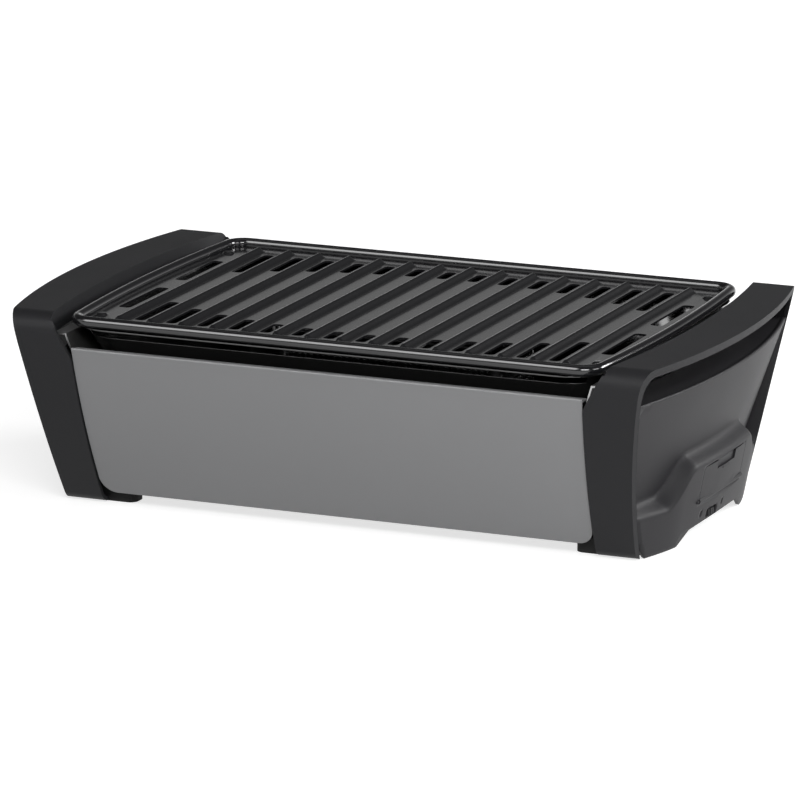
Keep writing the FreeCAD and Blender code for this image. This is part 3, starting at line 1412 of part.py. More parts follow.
def make_fan():
    bottom = BASE_TOP
    outline = prism("FanBlock", PLAN_VIEW, centred("fan_frame", "fan_frame"), "Z",
                    "fan_frame_height", rounds=rounded("fan_frame_corner"), z=bottom)
    bore = cylinder("FanBore", "fan_bore_radius", "fan_frame_height + 2",
                    z="%s - 1" % bottom)
    spokes = [cylinder("FanHub", "motor_radius + 1", "fan_spoke_height", z=bottom)]
    for index in range(3):
        turn_by = FreeCAD.Rotation(FreeCAD.Vector(0, 0, 1), 30 + 120 * index)
        spokes.append(box("FanSpoke%d" % index, "fan_bore_radius + 1",
                          "fan_spoke_width", "fan_spoke_height", "0", "0", bottom,
                          turn_by))
    holes = [cylinder("FanScrewHole%d" % index, "screw_radius + screw_clearance",
                      "screw_length", x, y, bottom)
             for index, (x, y) in enumerate(fan_screw_places())]
    ring = cut("FanRing", outline, fuse("FanHoles", [bore] + holes))
    node(fuse("FanHousing", [ring] + spokes), "fan_housing")
    motor_low = "(%s + fan_spoke_height)" % bottom
    can = cylinder("MotorCan", "motor_radius", "motor_height", z=motor_low)
    motor_hole = cylinder("MotorHole", "shaft_radius + shaft_fit", "motor_height",
                          z="%s + 1.5" % motor_low)
    node(cut("FanMotor", can, motor_hole), "fan_motor")
    hub_top = "(%s + motor_height + hub_gap + hub_wall)" % motor_low
    shaft = cylinder("MotorShaft", "shaft_radius",
                     "motor_height + hub_gap + hub_wall - 2",
                     z="%s + 2" % motor_low)
    node(shaft, "motor_shaft")
    body = doc.addObject("PartDesign::Body", "ImpellerBody")
    hub = body_sketch(body, "HubOutline", "XZ_Plane", [
        ("shaft_radius", "%s - hub_wall" % hub_top),
        ("hub_radius - hub_wall", "%s - hub_wall" % hub_top),
        ("hub_radius - hub_wall", "%s + blade_foot" % motor_low),
        ("hub_radius", "%s + blade_foot" % motor_low),
        ("hub_radius", hub_top),
        ("shaft_radius", hub_top)])
    turn(body, "HubTurn", hub)
    middle = "(%s + motor_height / 2 + blade_foot)" % motor_low
    corners = []
    for along, across in ((-1, -1), (1, -1), (1, 1), (-1, 1)):
        long_half = "(%d * blade_chord / 2)" % along
        thin_half = "(%d * blade_thickness / 2)" % across
        corners.append((
            "%s * cos(blade_pitch_angle) - %s * sin(blade_pitch_angle)"
            % (long_half, thin_half),
            "%s + %s * sin(blade_pitch_angle) + %s * cos(blade_pitch_angle)"
            % (middle, long_half, thin_half)))
    root = "(hub_radius - hub_wall / 2)"
    blade = body_sketch(body, "BladeOutline", "YZ_Plane", corners, offset=root)
    first = pad(body, "Blade", blade, "impeller_radius - %s" % root)
    pattern = body.newObject("PartDesign::PolarPattern", "Blades")
    pattern.Originals = [first]
    pattern.Axis = (origin_plane(body, "Z_Axis"), [""])
    pattern.Angle = 360
    bind(pattern, "Occurrences", "blade_count")
    body.Tip = pattern
    node(body, "fan_impeller")
    fan_top = "(%s + fan_frame_height)" % bottom
    collar = revolve("AirCollar", [
        ("fan_bore_radius", fan_top),
        ("fan_bore_radius + collar_wall + collar_flange", fan_top),
        ("fan_bore_radius + collar_wall + collar_flange", "%s + collar_wall" % fan_top),
        ("fan_bore_radius + collar_wall", "%s + collar_wall" % fan_top),
        ("collar_top_radius + collar_wall", "bowl_floor_height - seat_gap"),
        ("collar_top_radius", "bowl_floor_height - seat_gap")])
    node(collar, "air_collar")


make_end_frame()
make_pads()
make_side_panels()
make_battery_door()
make_door_contacts()
make_battery_box()
make_cells()
make_contacts()
make_dial()
make_panels()
make_base_plate()
make_screws()
make_inner_walls()
make_bowl()
make_dish()
make_basket()
make_grate()
make_fan()

doc.recompute()

faults = [item.Name for item in doc.Objects
          if "Invalid" in item.State or "Error" in item.State]
if faults:
    raise RuntimeError("failed objects: %s" % ", ".join(faults))
for piece in NODES:
    if piece.Shape.isNull() or not piece.Shape.isValid():
        raise RuntimeError("bad shape: %s" % piece.Label)

os.makedirs("parts", exist_ok=True)
for piece in NODES:
    piece.Shape.exportStep("parts/%s.step" % piece.Label)
    limits = piece.Shape.BoundBox
    print("%-24s solids %d  volume %9.0f  x %7.1f..%7.1f y %7.1f..%7.1f z %6.1f..%6.1f"
          % (piece.Label, len(piece.Shape.Solids), piece.Shape.Volume,
             limits.XMin, limits.XMax, limits.YMin, limits.YMax,
             limits.ZMin, limits.ZMax))
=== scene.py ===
import json
import math

import bmesh
import bpy
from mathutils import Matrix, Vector
from mathutils.geometry import delaunay_2d_cdt


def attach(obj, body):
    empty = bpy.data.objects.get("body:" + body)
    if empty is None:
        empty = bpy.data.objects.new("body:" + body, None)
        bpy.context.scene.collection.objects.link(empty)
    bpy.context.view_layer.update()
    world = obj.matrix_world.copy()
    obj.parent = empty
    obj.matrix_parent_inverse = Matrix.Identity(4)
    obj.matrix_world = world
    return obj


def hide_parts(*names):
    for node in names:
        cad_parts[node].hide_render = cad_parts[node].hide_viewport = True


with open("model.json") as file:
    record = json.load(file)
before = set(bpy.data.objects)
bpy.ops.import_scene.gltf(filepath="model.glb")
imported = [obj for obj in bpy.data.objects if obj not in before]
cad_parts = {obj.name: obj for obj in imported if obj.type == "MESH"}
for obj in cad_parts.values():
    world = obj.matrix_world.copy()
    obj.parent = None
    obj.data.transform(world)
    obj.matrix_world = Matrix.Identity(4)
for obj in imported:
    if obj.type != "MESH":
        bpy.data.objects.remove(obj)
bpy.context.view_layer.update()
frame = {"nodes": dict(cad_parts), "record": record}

MM = 0.001

# The camera of the photograph

AIM = Vector((-5.09, 0.0, 67.0)) * MM
DISTANCE = 4638.0 * MM
AZIMUTH = math.radians(23.076)
ELEVATION = math.radians(13.866)
FOCAL_PIXELS = 6693.6
IMAGE_PIXELS = 800
SENSOR_WIDTH = 36.0
CLIP_START = 0.1
CLIP_END = 50.0


def aim_from(thing, place):
    """Put a camera or a lamp at a place and turn it to the grill."""
    thing.location = place
    thing.rotation_mode = "QUATERNION"
    thing.rotation_quaternion = (AIM - thing.location).to_track_quat("-Z", "Y")
    bpy.context.scene.collection.objects.link(thing)


def make_camera():
    away = Vector((math.sin(AZIMUTH) * math.cos(ELEVATION),
                   -math.cos(AZIMUTH) * math.cos(ELEVATION),
                   math.sin(ELEVATION)))
    data = bpy.data.cameras.new("camera")
    data.sensor_width = SENSOR_WIDTH
    data.lens = FOCAL_PIXELS / IMAGE_PIXELS * SENSOR_WIDTH
    data.clip_start = CLIP_START
    data.clip_end = CLIP_END
    camera = bpy.data.objects.new("camera", data)
    aim_from(camera, AIM + away * DISTANCE)
    bpy.context.scene.camera = camera


# Shader maths: a socket that can be used in Python expressions


class Signal:
    """One output socket of a node, with arithmetic."""

    def __init__(self, nodes, socket):
        self.nodes = nodes
        self.socket = socket

    def math(self, operation, first, second, clamped=False):
        return self.nodes.add("ShaderNodeMath",
                              {"operation": operation, "use_clamp": clamped},
                              {0: first, 1: second})

    def __add__(self, other):
        return self.math("ADD", self, other)

    __radd__ = __add__

    def __mul__(self, other):
        return self.math("MULTIPLY", self, other)

    __rmul__ = __mul__

    def __sub__(self, other):
        return self.math("SUBTRACT", self, other)

    def __rsub__(self, other):
        return self.math("SUBTRACT", other, self)

    def __truediv__(self, other):
        return self.math("DIVIDE", self, other)

    def clamp(self):
        """The signal held between 0 and 1."""
        return self.math("MULTIPLY", self, 1.0, clamped=True)


class Nodes:
    """A node tree that is filled by one method."""

    def __init__(self, tree):
        self.tree = tree

    def add(self, kind, settings, inputs, output=0):
        """Any node: its settings first, then the values or links of its sockets."""
        node = self.tree.nodes.new(kind)
        for name, value in settings.items():
            if name == "stops":
                self.set_stops(node.color_ramp, value)
            else:
                setattr(node, name, value)
        for name, value in inputs.items():
            self.join(node.inputs[name], value)
        return Signal(self, node.outputs[output])

    def set_stops(self, ramp, stops):
        while len(ramp.elements) < len(stops):
            ramp.elements.new(0.5)
        for element, (position, value) in zip(ramp.elements, stops):
            element.position = position
            element.color = (value, value, value, 1.0)

    def join(self, socket, value):
        if isinstance(value, Signal):
            self.tree.links.new(value.socket, socket)
        else:
            socket.default_value = value

    def ray(self, kind):
        """1 on a Camera, Glossy or Transmission ray, otherwise 0."""
        return self.add("ShaderNodeLightPath", {}, {}, "Is " + kind + " Ray")


class Finish(Nodes):
    """A Principled material built from plain words."""

    GRAIN_DISTANCE = 0.1 * MM
    MIX_LOW, MIX_HIGH, MIX_RESULT = 6, 7, 2

    def __init__(self, name, color, **constants):
        self.material = bpy.data.materials.new(name)
        self.material.use_nodes = True
        super().__init__(self.material.node_tree)
        self.shader = self.tree.nodes["Principled BSDF"]
        self.set("Base Color", (*color, 1.0))
        for socket, value in constants.items():
            self.set(socket.replace("_", " "), value)
        self.place = self.add("ShaderNodeTexCoord", {}, {}, "Object")

    def set(self, name, value):
        self.join(self.shader.inputs[name], value)

    def noise(self, scale, detail=2.0, roughness=0.5, stretch=None):
        """Noise from 0 to 1; the scale is in features per metre."""
        place = self.place
        if stretch:
            place = self.add("ShaderNodeMapping", {},
                             {"Vector": place, "Scale": stretch})
        return self.add("ShaderNodeTexNoise", {}, {
            "Vector": place, "Scale": scale, "Detail": detail,
            "Roughness": roughness})

    def tint(self, factor, color, darker, lighter, lift=0.0):
        """Base colour between a darker and a lighter version of a colour."""
        low = [c * darker for c in color]
        high = [min(c * lighter + lift, 1.0) for c in color]
        self.set("Base Color", self.add(
            "ShaderNodeMix", {"data_type": "RGBA"},
            {0: factor, self.MIX_LOW: (*low, 1.0), self.MIX_HIGH: (*high, 1.0)},
            self.MIX_RESULT))

    def vary_roughness(self, middle, *spreads):
        """Roughness about a middle value; a spread is a signal and its reach."""
        total = middle - sum(reach for signal, reach in spreads) / 2
        for signal, reach in spreads:
            total = signal * reach + total
        self.set("Roughness", total)

    def grain(self, height, strength):
        """Bump from a height signal."""
        self.set("Normal", self.add("ShaderNodeBump", {}, {
            "Height": height, "Strength": strength,
            "Distance": self.GRAIN_DISTANCE}))


def moulded_plastic(name, color, roughness):
    """Spark-eroded plastic: a fine grain with slow changes of gloss."""
    finish = Finish(name, color, Specular_IOR_Level=0.18)
    speckle = finish.noise(2600.0, detail=3.0, roughness=0.6)
    cloud = finish.noise(14.0)
    shade = finish.noise(900.0)
    finish.tint(shade * 0.7 + cloud * 0.3, color, darker=0.90, lighter=1.10)
    finish.vary_roughness(roughness, (cloud, 0.10), (speckle, 0.08))
    finish.grain(speckle, strength=0.25)
    return finish.material


def enamel(name, color, roughness):
    """Fired enamel: glossy, with the slow waviness of a dipped coat."""
    finish = Finish(name, color, Specular_IOR_Level=0.5, Coat_Weight=0.4,
                    Coat_Roughness=0.12)
    wave = finish.noise(60.0, detail=1.0)
    speck = finish.noise(1500.0)
    finish.tint(speck, color, darker=0.8, lighter=1.3, lift=0.002)
    finish.vary_roughness(roughness, (wave, 0.05))
    finish.grain(wave * 0.7 + speck * 0.3, strength=0.025)
    return finish.material


def sheet_paint(name, color, roughness):
    """Satin stove paint on sheet steel."""
    finish = Finish(name, color, Specular_IOR_Level=0.5, Coat_Weight=0.15,
                    Coat_Roughness=0.35)
    orange_peel = finish.noise(1400.0)
    cloud = finish.noise(9.0)
    finish.tint(cloud, color, darker=0.97, lighter=1.03)
    finish.vary_roughness(roughness, (cloud, 0.06), (orange_peel, 0.04))
    finish.grain(orange_peel, strength=0.10)
    return finish.material


def bare_metal(name, color, roughness):
    """Rolled or drawn metal with fine lines one way."""
    finish = Finish(name, color, Metallic=1.0)
    lines = finish.noise(60.0, detail=4.0, roughness=0.6, stretch=(1.0, 40.0, 40.0))
    cloud = finish.noise(30.0)
    finish.tint(lines * 0.6 + cloud * 0.4, color, darker=0.85, lighter=1.1)
    finish.vary_roughness(roughness, (lines, 0.15), (cloud, 0.08))
    finish.grain(lines, strength=0.15)
    return finish.material


def soft_rubber(name, color, roughness):
    """Matt rubber with a little dust on it."""
    finish = Finish(name, color, Specular_IOR_Level=0.3)
    dust = finish.noise(1800.0, detail=3.0)
    cloud = finish.noise(40.0)
    finish.tint(cloud, color, darker=1.0, lighter=1.6)
    finish.vary_roughness(roughness, (dust, 0.15))
    finish.grain(dust, strength=0.4)
    return finish.material


# Each slot of the record: its maker, colour and middle roughness

FINISHES = (
    ("dark_plastic", moulded_plastic, (0.017, 0.017, 0.0185), 0.54),
    ("side_plastic", moulded_plastic, (0.020, 0.0195, 0.0215), 0.50),
    ("dial_plastic", moulded_plastic, (0.015, 0.015, 0.016), 0.40),
    ("inner_plastic", moulded_plastic, (0.022, 0.022, 0.024), 0.50),
    ("foot_rubber", soft_rubber, (0.014, 0.014, 0.014), 0.755),
    ("panel_paint", sheet_paint, (0.228, 0.229, 0.234), 0.42),
    ("black_enamel", enamel, (0.008, 0.008, 0.008), 0.14),
    ("grate_enamel", enamel, (0.007, 0.007, 0.008), 0.15),
    ("basket_enamel", enamel, (0.020, 0.020, 0.020), 0.26),
    ("dish_steel", bare_metal, (0.56, 0.56, 0.55), 0.285),
    ("inner_steel", bare_metal, (0.45, 0.45, 0.45), 0.405),
    ("base_steel", sheet_paint, (0.035, 0.035, 0.036), 0.50),
    ("screw_steel", bare_metal, (0.50, 0.50, 0.50), 0.355),
    ("spring_metal", bare_metal, (0.62, 0.62, 0.60), 0.255),
    ("cell_case", sheet_paint, (0.180, 0.190, 0.210), 0.35),
    ("board", sheet_paint, (0.020, 0.090, 0.045), 0.40),
)
MATERIALS = {slot: maker(slot, color, roughness)
             for slot, maker, color, roughness in FINISHES}

SLOTS = {entry["node"]: entry["material_slot"] for entry in frame["record"]["subparts"]}

# The solids' own meshes: the finish of their slot, and edges that stay crisp

WELD_DISTANCE = 0.005 * MM
CRISP_ANGLE = math.radians(32.0)


def dress(name):
    node = frame["nodes"][name]
    node.data.materials.clear()
    node.data.materials.append(MATERIALS[SLOTS[name]])
    for face in node.data.polygons:
        face.material_index = 0
    weld = node.modifiers.new("weld", "WELD")
    weld.merge_threshold = WELD_DISTANCE
    split = node.modifiers.new("crisp_edges", "EDGE_SPLIT")
    split.use_edge_sharp = False
    split.split_angle = CRISP_ANGLE


# Pieces: a shape is a list of points in millimetres and a list of faces

MERGE_DISTANCE = 0.01 * MM
SOFT_EDGE_SEGMENTS = 2
SOFT_EDGE_ANGLE = math.radians(40.0)
FLAT_FACE_WEIGHT = 80


def new_piece(name, shape, slot, body, smooth):
    """A mesh piece with its finish; edges over the smooth angle stay sharp."""
    verts, faces = shape
    mesh = bpy.data.meshes.new(name)
    mesh.from_pydata([(x * MM, y * MM, z * MM) for x, y, z in verts], [], faces)
    clean = bmesh.new()
    clean.from_mesh(mesh)
    bmesh.ops.remove_doubles(clean, verts=clean.verts, dist=MERGE_DISTANCE)
    bmesh.ops.recalc_face_normals(clean, faces=clean.faces)
    clean.to_mesh(mesh)
    clean.free()
    mesh.shade_smooth()
    mesh.set_sharp_from_angle(angle=math.radians(smooth))
    mesh.materials.append(MATERIALS[slot])
    piece = bpy.data.objects.new(name, mesh)
    bpy.context.scene.collection.objects.link(piece)
    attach(piece, body)
    return piece


def face_out(piece, outward):
    """Flip a skin whose faces look, on balance, against outward(centre)."""
    if sum(face.normal.dot(outward(face.center)) * face.area
           for face in piece.data.polygons) < 0:
        piece.data.flip_normals()


def thicken(piece, thickness):
    """Sheet thickness, laid behind the faces."""
    wall = piece.modifiers.new("sheet", "SOLIDIFY")
    wall.thickness = thickness * MM
    wall.offset = -1.0
    wall.use_even_offset = True


def soften(piece, width):
    edge = piece.modifiers.new("soft_edges", "BEVEL")
    edge.width = width * MM
    edge.segments = SOFT_EDGE_SEGMENTS
    edge.limit_method = "ANGLE"
    edge.angle_limit = SOFT_EDGE_ANGLE


def even_shading(piece):
    """Large flat faces keep their own normals beside small rounded ones."""
    weight = piece.modifiers.new("even_shading", "WEIGHTED_NORMAL")
    weight.keep_sharp = True
    weight.weight = FLAT_FACE_WEIGHT


def arc(centre, radius, start, end, steps):
    """Points of an arc about a centre, angles in degrees."""
    angles = [math.radians(start + (end - start) * i / steps) for i in range(steps + 1)]
    return [(centre[0] + radius * math.cos(a), centre[1] + radius * math.sin(a))
            for a in angles]


def circle(centre, radius, count):
    return arc(centre, radius, 0, 360 - 360 / count, count - 1)


def rounded_rectangle(half_x, half_y, radius, steps):
    """Four corner arcs about the origin, anticlockwise from the front right."""
    ring = []
    for quarter, (sx, sy) in enumerate(((1, -1), (1, 1), (-1, 1), (-1, -1))):
        centre = (sx * (half_x - radius), sy * (half_y - radius))
        ring += arc(centre, radius, -90 + 90 * quarter, 90 * quarter, steps)
    return ring


def shifted(points, x, y):
    return [(x + px, y + py) for px, py in points]


def at_height(points, height):
    return [(x, y, height) for x, y in points]


def skin(rings, closed=True):
    """Quads between rings of equal count; each ring is a list of points."""
    count = len(rings[0])
    verts = [point for ring in rings for point in ring]
    faces = []
    for row in range(len(rings) - 1):
        for i in range(count if closed else count - 1):
            j = (i + 1) % count
            faces.append((row * count + i, row * count + j,
                          (row + 1) * count + j, (row + 1) * count + i))
    return verts, faces


def tube(rings):
    """A skin whose last ring meets its first."""
    return skin(rings + rings[:1])


def dome(rings):
    """A skin that is closed by a face on its last ring."""
    verts, faces = skin(rings)
    faces.append(tuple(range(len(verts) - len(rings[-1]), len(verts))))
    return verts, faces


def add_part(shape, part):
    """Append the points and faces of a part to a shape."""
    first = len(shape[0])
    shape[0].extend(part[0])
    shape[1].extend(tuple(first + i for i in face) for face in part[1])


INSIDE_TRIANGLES = 1
CUT_TOLERANCE = 1e-5


def sheet_with_holes(outline, holes, guides=(), spare=()):
    """Triangles of a flat outline with convex holes, along guide lines.

    The triangulation fills the holes too. A triangle lies in a hole when all
    its corners come from that hole's outline.
    """
    points, edges, owner = [], [], []
    for index, loop in enumerate([outline] + list(holes)):
        first = len(points)
        points += [Vector(p) for p in loop]
        owner += [index] * len(loop)
        edges += [(first + i, first + (i + 1) % len(loop)) for i in range(len(loop))]
    for line in guides:
        first = len(points)
        points += [Vector(p) for p in line]
        owner += [-1] * len(line)
        edges += [(first + i, first + i + 1) for i in range(len(line) - 1)]
    points += [Vector(p) for p in spare]
    owner += [-1] * len(spare)
    made = delaunay_2d_cdt(points, edges, [], INSIDE_TRIANGLES, CUT_TOLERANCE)
    loops = [{owner[i] for i in source if owner[i] > 0} for source in made[3]]
    faces = [tuple(face) for face in made[2]
             if not set.intersection(*(loops[i] for i in face))]
    return [tuple(p) for p in made[0]], faces


# The grate: enamelled sheet with pressed ribs, punched slots and a rolled bead

GRATE_HALF_DEPTH = 138.5
GRATE_HALF_LENGTH = 194.5
GRATE_END_RADIUS = 1480.0
GRATE_CORNER = 17.0
GRATE_CORNER_STEPS = 8
GRATE_END_STEPS = 16
GRATE_FLOOR = 134.0
GRATE_SHEET = 1.5
GRATE_SOFT_EDGE = 0.45
PLATE_INSET = 7.4
BEAD_RADIUS = 4.0
BEAD_HEIGHT = 135.5
BEAD_POINTS = 16
RIBS = 15
RIB_PITCH = 23.5
RIB_HALF_LENGTH = 121.5
RIB_HEIGHT = 3.7
RIB_HALF_WIDTH = 5.35
RIB_SLOPE = math.radians(50.0)
RIB_CREST_RADIUS = 1.8
RIB_FOOT_RADIUS = 3.0
RIB_END_STEPS = 10
RIB_SECTION = (RIB_HALF_WIDTH, 4.9, 4.4, 3.8, 3.05, 2.2, 1.38, 1.0, 0.6, 0.15)
SLOT_HALF_WIDTH = 4.0
SLOT_CORNER = 3.0
SLOT_CORNER_STEPS = 4
SLOT_OUTER = 110.0
OVAL_DEPTH = 88.0
OVAL_LENGTH = 187.0
END_SLOT_PLACE = (178.7, 46.0)
END_SLOT_HALF = (4.5, 33.0)
BOSS_PLACE = (183.0, 105.0)
BOSS_RADIUS = 4.8
BOSS_HEIGHT = 1.6
BOSS_POINTS = 20
BOSS_PROFILE = ((1, 0), (0.9, 0.12), (0.78, 0.5), (0.66, 0.86), (0.5, 1.0), (0.1, 1.04))
RIB_PLACES = [(i - (RIBS - 1) / 2) * RIB_PITCH for i in range(RIBS)]


def grate_outline(inset):
    """Plan outline with bowed ends; every inset has the same point count."""
    hub = GRATE_HALF_LENGTH - math.sqrt(GRATE_END_RADIUS ** 2 - GRATE_HALF_DEPTH ** 2)
    corner_y = GRATE_HALF_DEPTH - GRATE_CORNER
    reach = GRATE_END_RADIUS - GRATE_CORNER
    corner_x = hub + math.sqrt(reach ** 2 - corner_y ** 2)
    lean = math.degrees(math.asin(corner_y / reach))
    radius = GRATE_CORNER - inset
    end = GRATE_END_RADIUS - inset
    half = (arc((corner_x, -corner_y), radius, -90, -lean, GRATE_CORNER_STEPS)
            + arc((hub, 0), end, -lean, lean, GRATE_END_STEPS)[1:-1]
            + arc((corner_x, corner_y), radius, lean, 90, GRATE_CORNER_STEPS))
    return half + [(-x, -y) for x, y in half]


def rib_height(away):
    """Height of a rib's section at a distance from its middle line."""
    knee = RIB_CREST_RADIUS * math.sin(RIB_SLOPE)
    toe = RIB_HALF_WIDTH - RIB_FOOT_RADIUS * math.sin(RIB_SLOPE)
    if away <= knee:
        return (RIB_HEIGHT - RIB_CREST_RADIUS
                + math.sqrt(RIB_CREST_RADIUS ** 2 - away ** 2))
    if away >= toe:
        return RIB_FOOT_RADIUS - math.sqrt(
            RIB_FOOT_RADIUS ** 2 - (RIB_HALF_WIDTH - away) ** 2)
    high = RIB_HEIGHT - RIB_CREST_RADIUS * (1 - math.cos(RIB_SLOPE))
    low = RIB_FOOT_RADIUS * (1 - math.cos(RIB_SLOPE))
    return high + (low - high) * (away - knee) / (toe - knee)


def rib_ring(x, radius):
    """Plan of a rib at a distance from its middle line, round at both ends."""
    reach = RIB_HALF_LENGTH - RIB_HALF_WIDTH
    return (arc((x, reach), radius, 0, 180, RIB_END_STEPS)
            + arc((x, -reach), radius, 180, 360, RIB_END_STEPS))


def four_corners(place):
    return [(sx * place[0], sy * place[1]) for sx in (-1, 1) for sy in (-1, 1)]


def grate_holes():
    """What is cut from the flat plate: rib feet, slots and boss feet."""
    holes = [rib_ring(x, RIB_HALF_WIDTH) for x in RIB_PLACES]
    for left in RIB_PLACES[:-1]:
        x = left + RIB_PITCH / 2
        inner = OVAL_DEPTH * math.sqrt(1 - (x / OVAL_LENGTH) ** 2)
        slot = rounded_rectangle(SLOT_HALF_WIDTH, (SLOT_OUTER - inner) / 2,
                                 SLOT_CORNER, SLOT_CORNER_STEPS)
        holes += [shifted(slot, x, side * (SLOT_OUTER + inner) / 2)
                  for side in (-1, 1)]
    slot = rounded_rectangle(*END_SLOT_HALF, SLOT_CORNER, SLOT_CORNER_STEPS)
    holes += [shifted(slot, *place) for place in four_corners(END_SLOT_PLACE)]
    holes += [circle(place, BOSS_RADIUS, BOSS_POINTS)
              for place in four_corners(BOSS_PLACE)]
    return holes


def make_grate():
    flat, faces = sheet_with_holes(grate_outline(PLATE_INSET), grate_holes())
    shape = at_height(flat, GRATE_FLOOR), faces
    for x in RIB_PLACES:
        add_part(shape, dome([
            at_height(rib_ring(x, away), GRATE_FLOOR + rib_height(away))
            for away in RIB_SECTION]))
    for place in four_corners(BOSS_PLACE):
        add_part(shape, dome([
            at_height(circle(place, BOSS_RADIUS * share, BOSS_POINTS),
                      GRATE_FLOOR + BOSS_HEIGHT * rise)
            for share, rise in BOSS_PROFILE]))
    plate = new_piece("grate_plate", shape, "grate_enamel", "grill_grate", smooth=55.0)
    face_out(plate, lambda centre: Vector((0, 0, 1)))
    thicken(plate, GRATE_SHEET)
    soften(plate, GRATE_SOFT_EDGE)
    even_shading(plate)
    rings = []
    for step in range(BEAD_POINTS):
        angle = math.radians(360 / BEAD_POINTS * step)
        rings.append(at_height(grate_outline(BEAD_RADIUS - BEAD_RADIUS * math.cos(angle)),
                               BEAD_HEIGHT + BEAD_RADIUS * math.sin(angle)))
    bead = new_piece("grate_bead", tube(rings), "grate_enamel", "grill_grate",
                     smooth=80.0)
    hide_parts("grill_grate")
    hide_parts("grill_grate")


# The charcoal basket: perforated steel, folded round four corners

BASKET_HALF = (83.0, 33.5)
BASKET_CORNER = 5.0
BASKET_CORNER_STEPS = 6
BASKET_TOP = 121.0
BASKET_FLOOR = 52.0
BASKET_SHEET = 1.0
BASKET_FLATS = [2 * (half - BASKET_CORNER) for half in BASKET_HALF]
BASKET_BEND = BASKET_CORNER * math.pi / 2
BASKET_RIM_RADIUS = 1.1
BASKET_RIM_INSET = 0.6
BASKET_RIM_POINTS = 8
HOLE_RADIUS = 1.35
HOLE_POINTS = 8
HOLE_PITCH = 4.4
HOLE_ROW_PITCH = HOLE_PITCH * 0.87
WALL_MARGIN_SIDE = 3.0
WALL_MARGIN_FOOT = 6.0
WALL_MARGIN_TOP = 8.0
FLOOR_MARGINS = (3.0, 2.0)


def basket_wall_point(along, height):
    """A point of the outer wall from its unrolled length and its height."""
    sides = ((BASKET_FLATS[0], (-1, -1)), (BASKET_FLATS[1], (1, -1)),
             (BASKET_FLATS[0], (1, 1)), (BASKET_FLATS[1], (-1, 1)))
    for quarter, (length, (sx, sy)) in enumerate(sides):
        heading = math.radians(90 * quarter)
        ahead = (math.cos(heading), math.sin(heading))
        start = (sx * BASKET_FLATS[0] / 2 + BASKET_CORNER * ahead[1],
                 sy * BASKET_FLATS[1] / 2 - BASKET_CORNER * ahead[0])
        if along <= length:
            return (start[0] + along * ahead[0], start[1] + along * ahead[1], height)
        along -= length
        if along <= BASKET_BEND:
            angle = heading - math.pi / 2 + along / BASKET_CORNER
            hub = (start[0] + length * ahead[0] - BASKET_CORNER * ahead[1],
                   start[1] + length * ahead[1] + BASKET_CORNER * ahead[0])
            return (hub[0] + BASKET_CORNER * math.cos(angle),
                    hub[1] + BASKET_CORNER * math.sin(angle), height)
        along -= BASKET_BEND
    return basket_wall_point(0.0, height)


def perforation(start, end, low, high):
    """Round holes in staggered rows over a strip."""
    rows = int((high - low) / HOLE_ROW_PITCH)
    count = int((end - start) / HOLE_PITCH)
    first = start + (end - start - count * HOLE_PITCH) / 2
    return [circle((first + (i + (row % 2) / 2) * HOLE_PITCH, low + row * HOLE_ROW_PITCH),
                   HOLE_RADIUS, HOLE_POINTS)
            for row in range(rows + 1) for i in range(count + 1 - row % 2)]


def make_basket():
    shape = [], []
    start = 0.0
    for length in BASKET_FLATS * 2:
        end = start + length
        flat, faces = sheet_with_holes(
            [(start, BASKET_FLOOR), (end, BASKET_FLOOR),
             (end, BASKET_TOP), (start, BASKET_TOP)],
            perforation(start + WALL_MARGIN_SIDE, end - WALL_MARGIN_SIDE,
                        BASKET_FLOOR + WALL_MARGIN_FOOT, BASKET_TOP - WALL_MARGIN_TOP))
        add_part(shape, ([basket_wall_point(min(max(along, start), end), height)
                          for along, height in flat], faces))
        add_part(shape, skin([
            [basket_wall_point(end + BASKET_BEND * i / BASKET_CORNER_STEPS, height)
             for i in range(BASKET_CORNER_STEPS + 1)]
            for height in (BASKET_FLOOR, BASKET_TOP)], closed=False))
        start = end + BASKET_BEND
    reach_x, reach_y = [flat / 2 - margin
                        for flat, margin in zip(BASKET_FLATS, FLOOR_MARGINS)]
    flat, faces = sheet_with_holes(
        rounded_rectangle(*BASKET_HALF, BASKET_CORNER, BASKET_CORNER_STEPS),
        perforation(-reach_x, reach_x, -reach_y, reach_y))
    add_part(shape, (at_height(flat, BASKET_FLOOR), faces))
    wall = new_piece("basket_wall", shape, "basket_enamel", "charcoal_basket",
                     smooth=30.0)
    thicken(wall, BASKET_SHEET)
    rings = []
    for step in range(BASKET_RIM_POINTS):
        angle = math.radians(360 / BASKET_RIM_POINTS * step)
        half = [side - BASKET_RIM_INSET + BASKET_RIM_RADIUS * math.cos(angle)
                for side in BASKET_HALF]
        rings.append(at_height(
            rounded_rectangle(*half, BASKET_CORNER, BASKET_CORNER_STEPS),
            BASKET_TOP - BASKET_RIM_RADIUS + BASKET_RIM_RADIUS * math.sin(angle)))
    rim = new_piece("basket_rim", tube(rings), "basket_enamel", "charcoal_basket",
                    smooth=60.0)
    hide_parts("charcoal_basket")
    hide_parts("charcoal_basket")


# The bowl: drawn and enamelled, with a flange, a front slot and the air neck

BOWL_FLOOR_HALF = (150.0, 88.0)
BOWL_RIM_HALF = (191.0, 133.0)
BOWL_FLOOR = 34.6
BOWL_RIM = 129.0
BOWL_TOP = 131.4
BOWL_CORNER = 26.0
BOWL_CORNER_STEPS = 6
BOWL_SHEET = 1.0
BOWL_SOFT_EDGE = 0.3
BOWL_SLOT_FOOT = 124.6
NECK_RADIUS = 17.5
NECK_TOP = 43.4
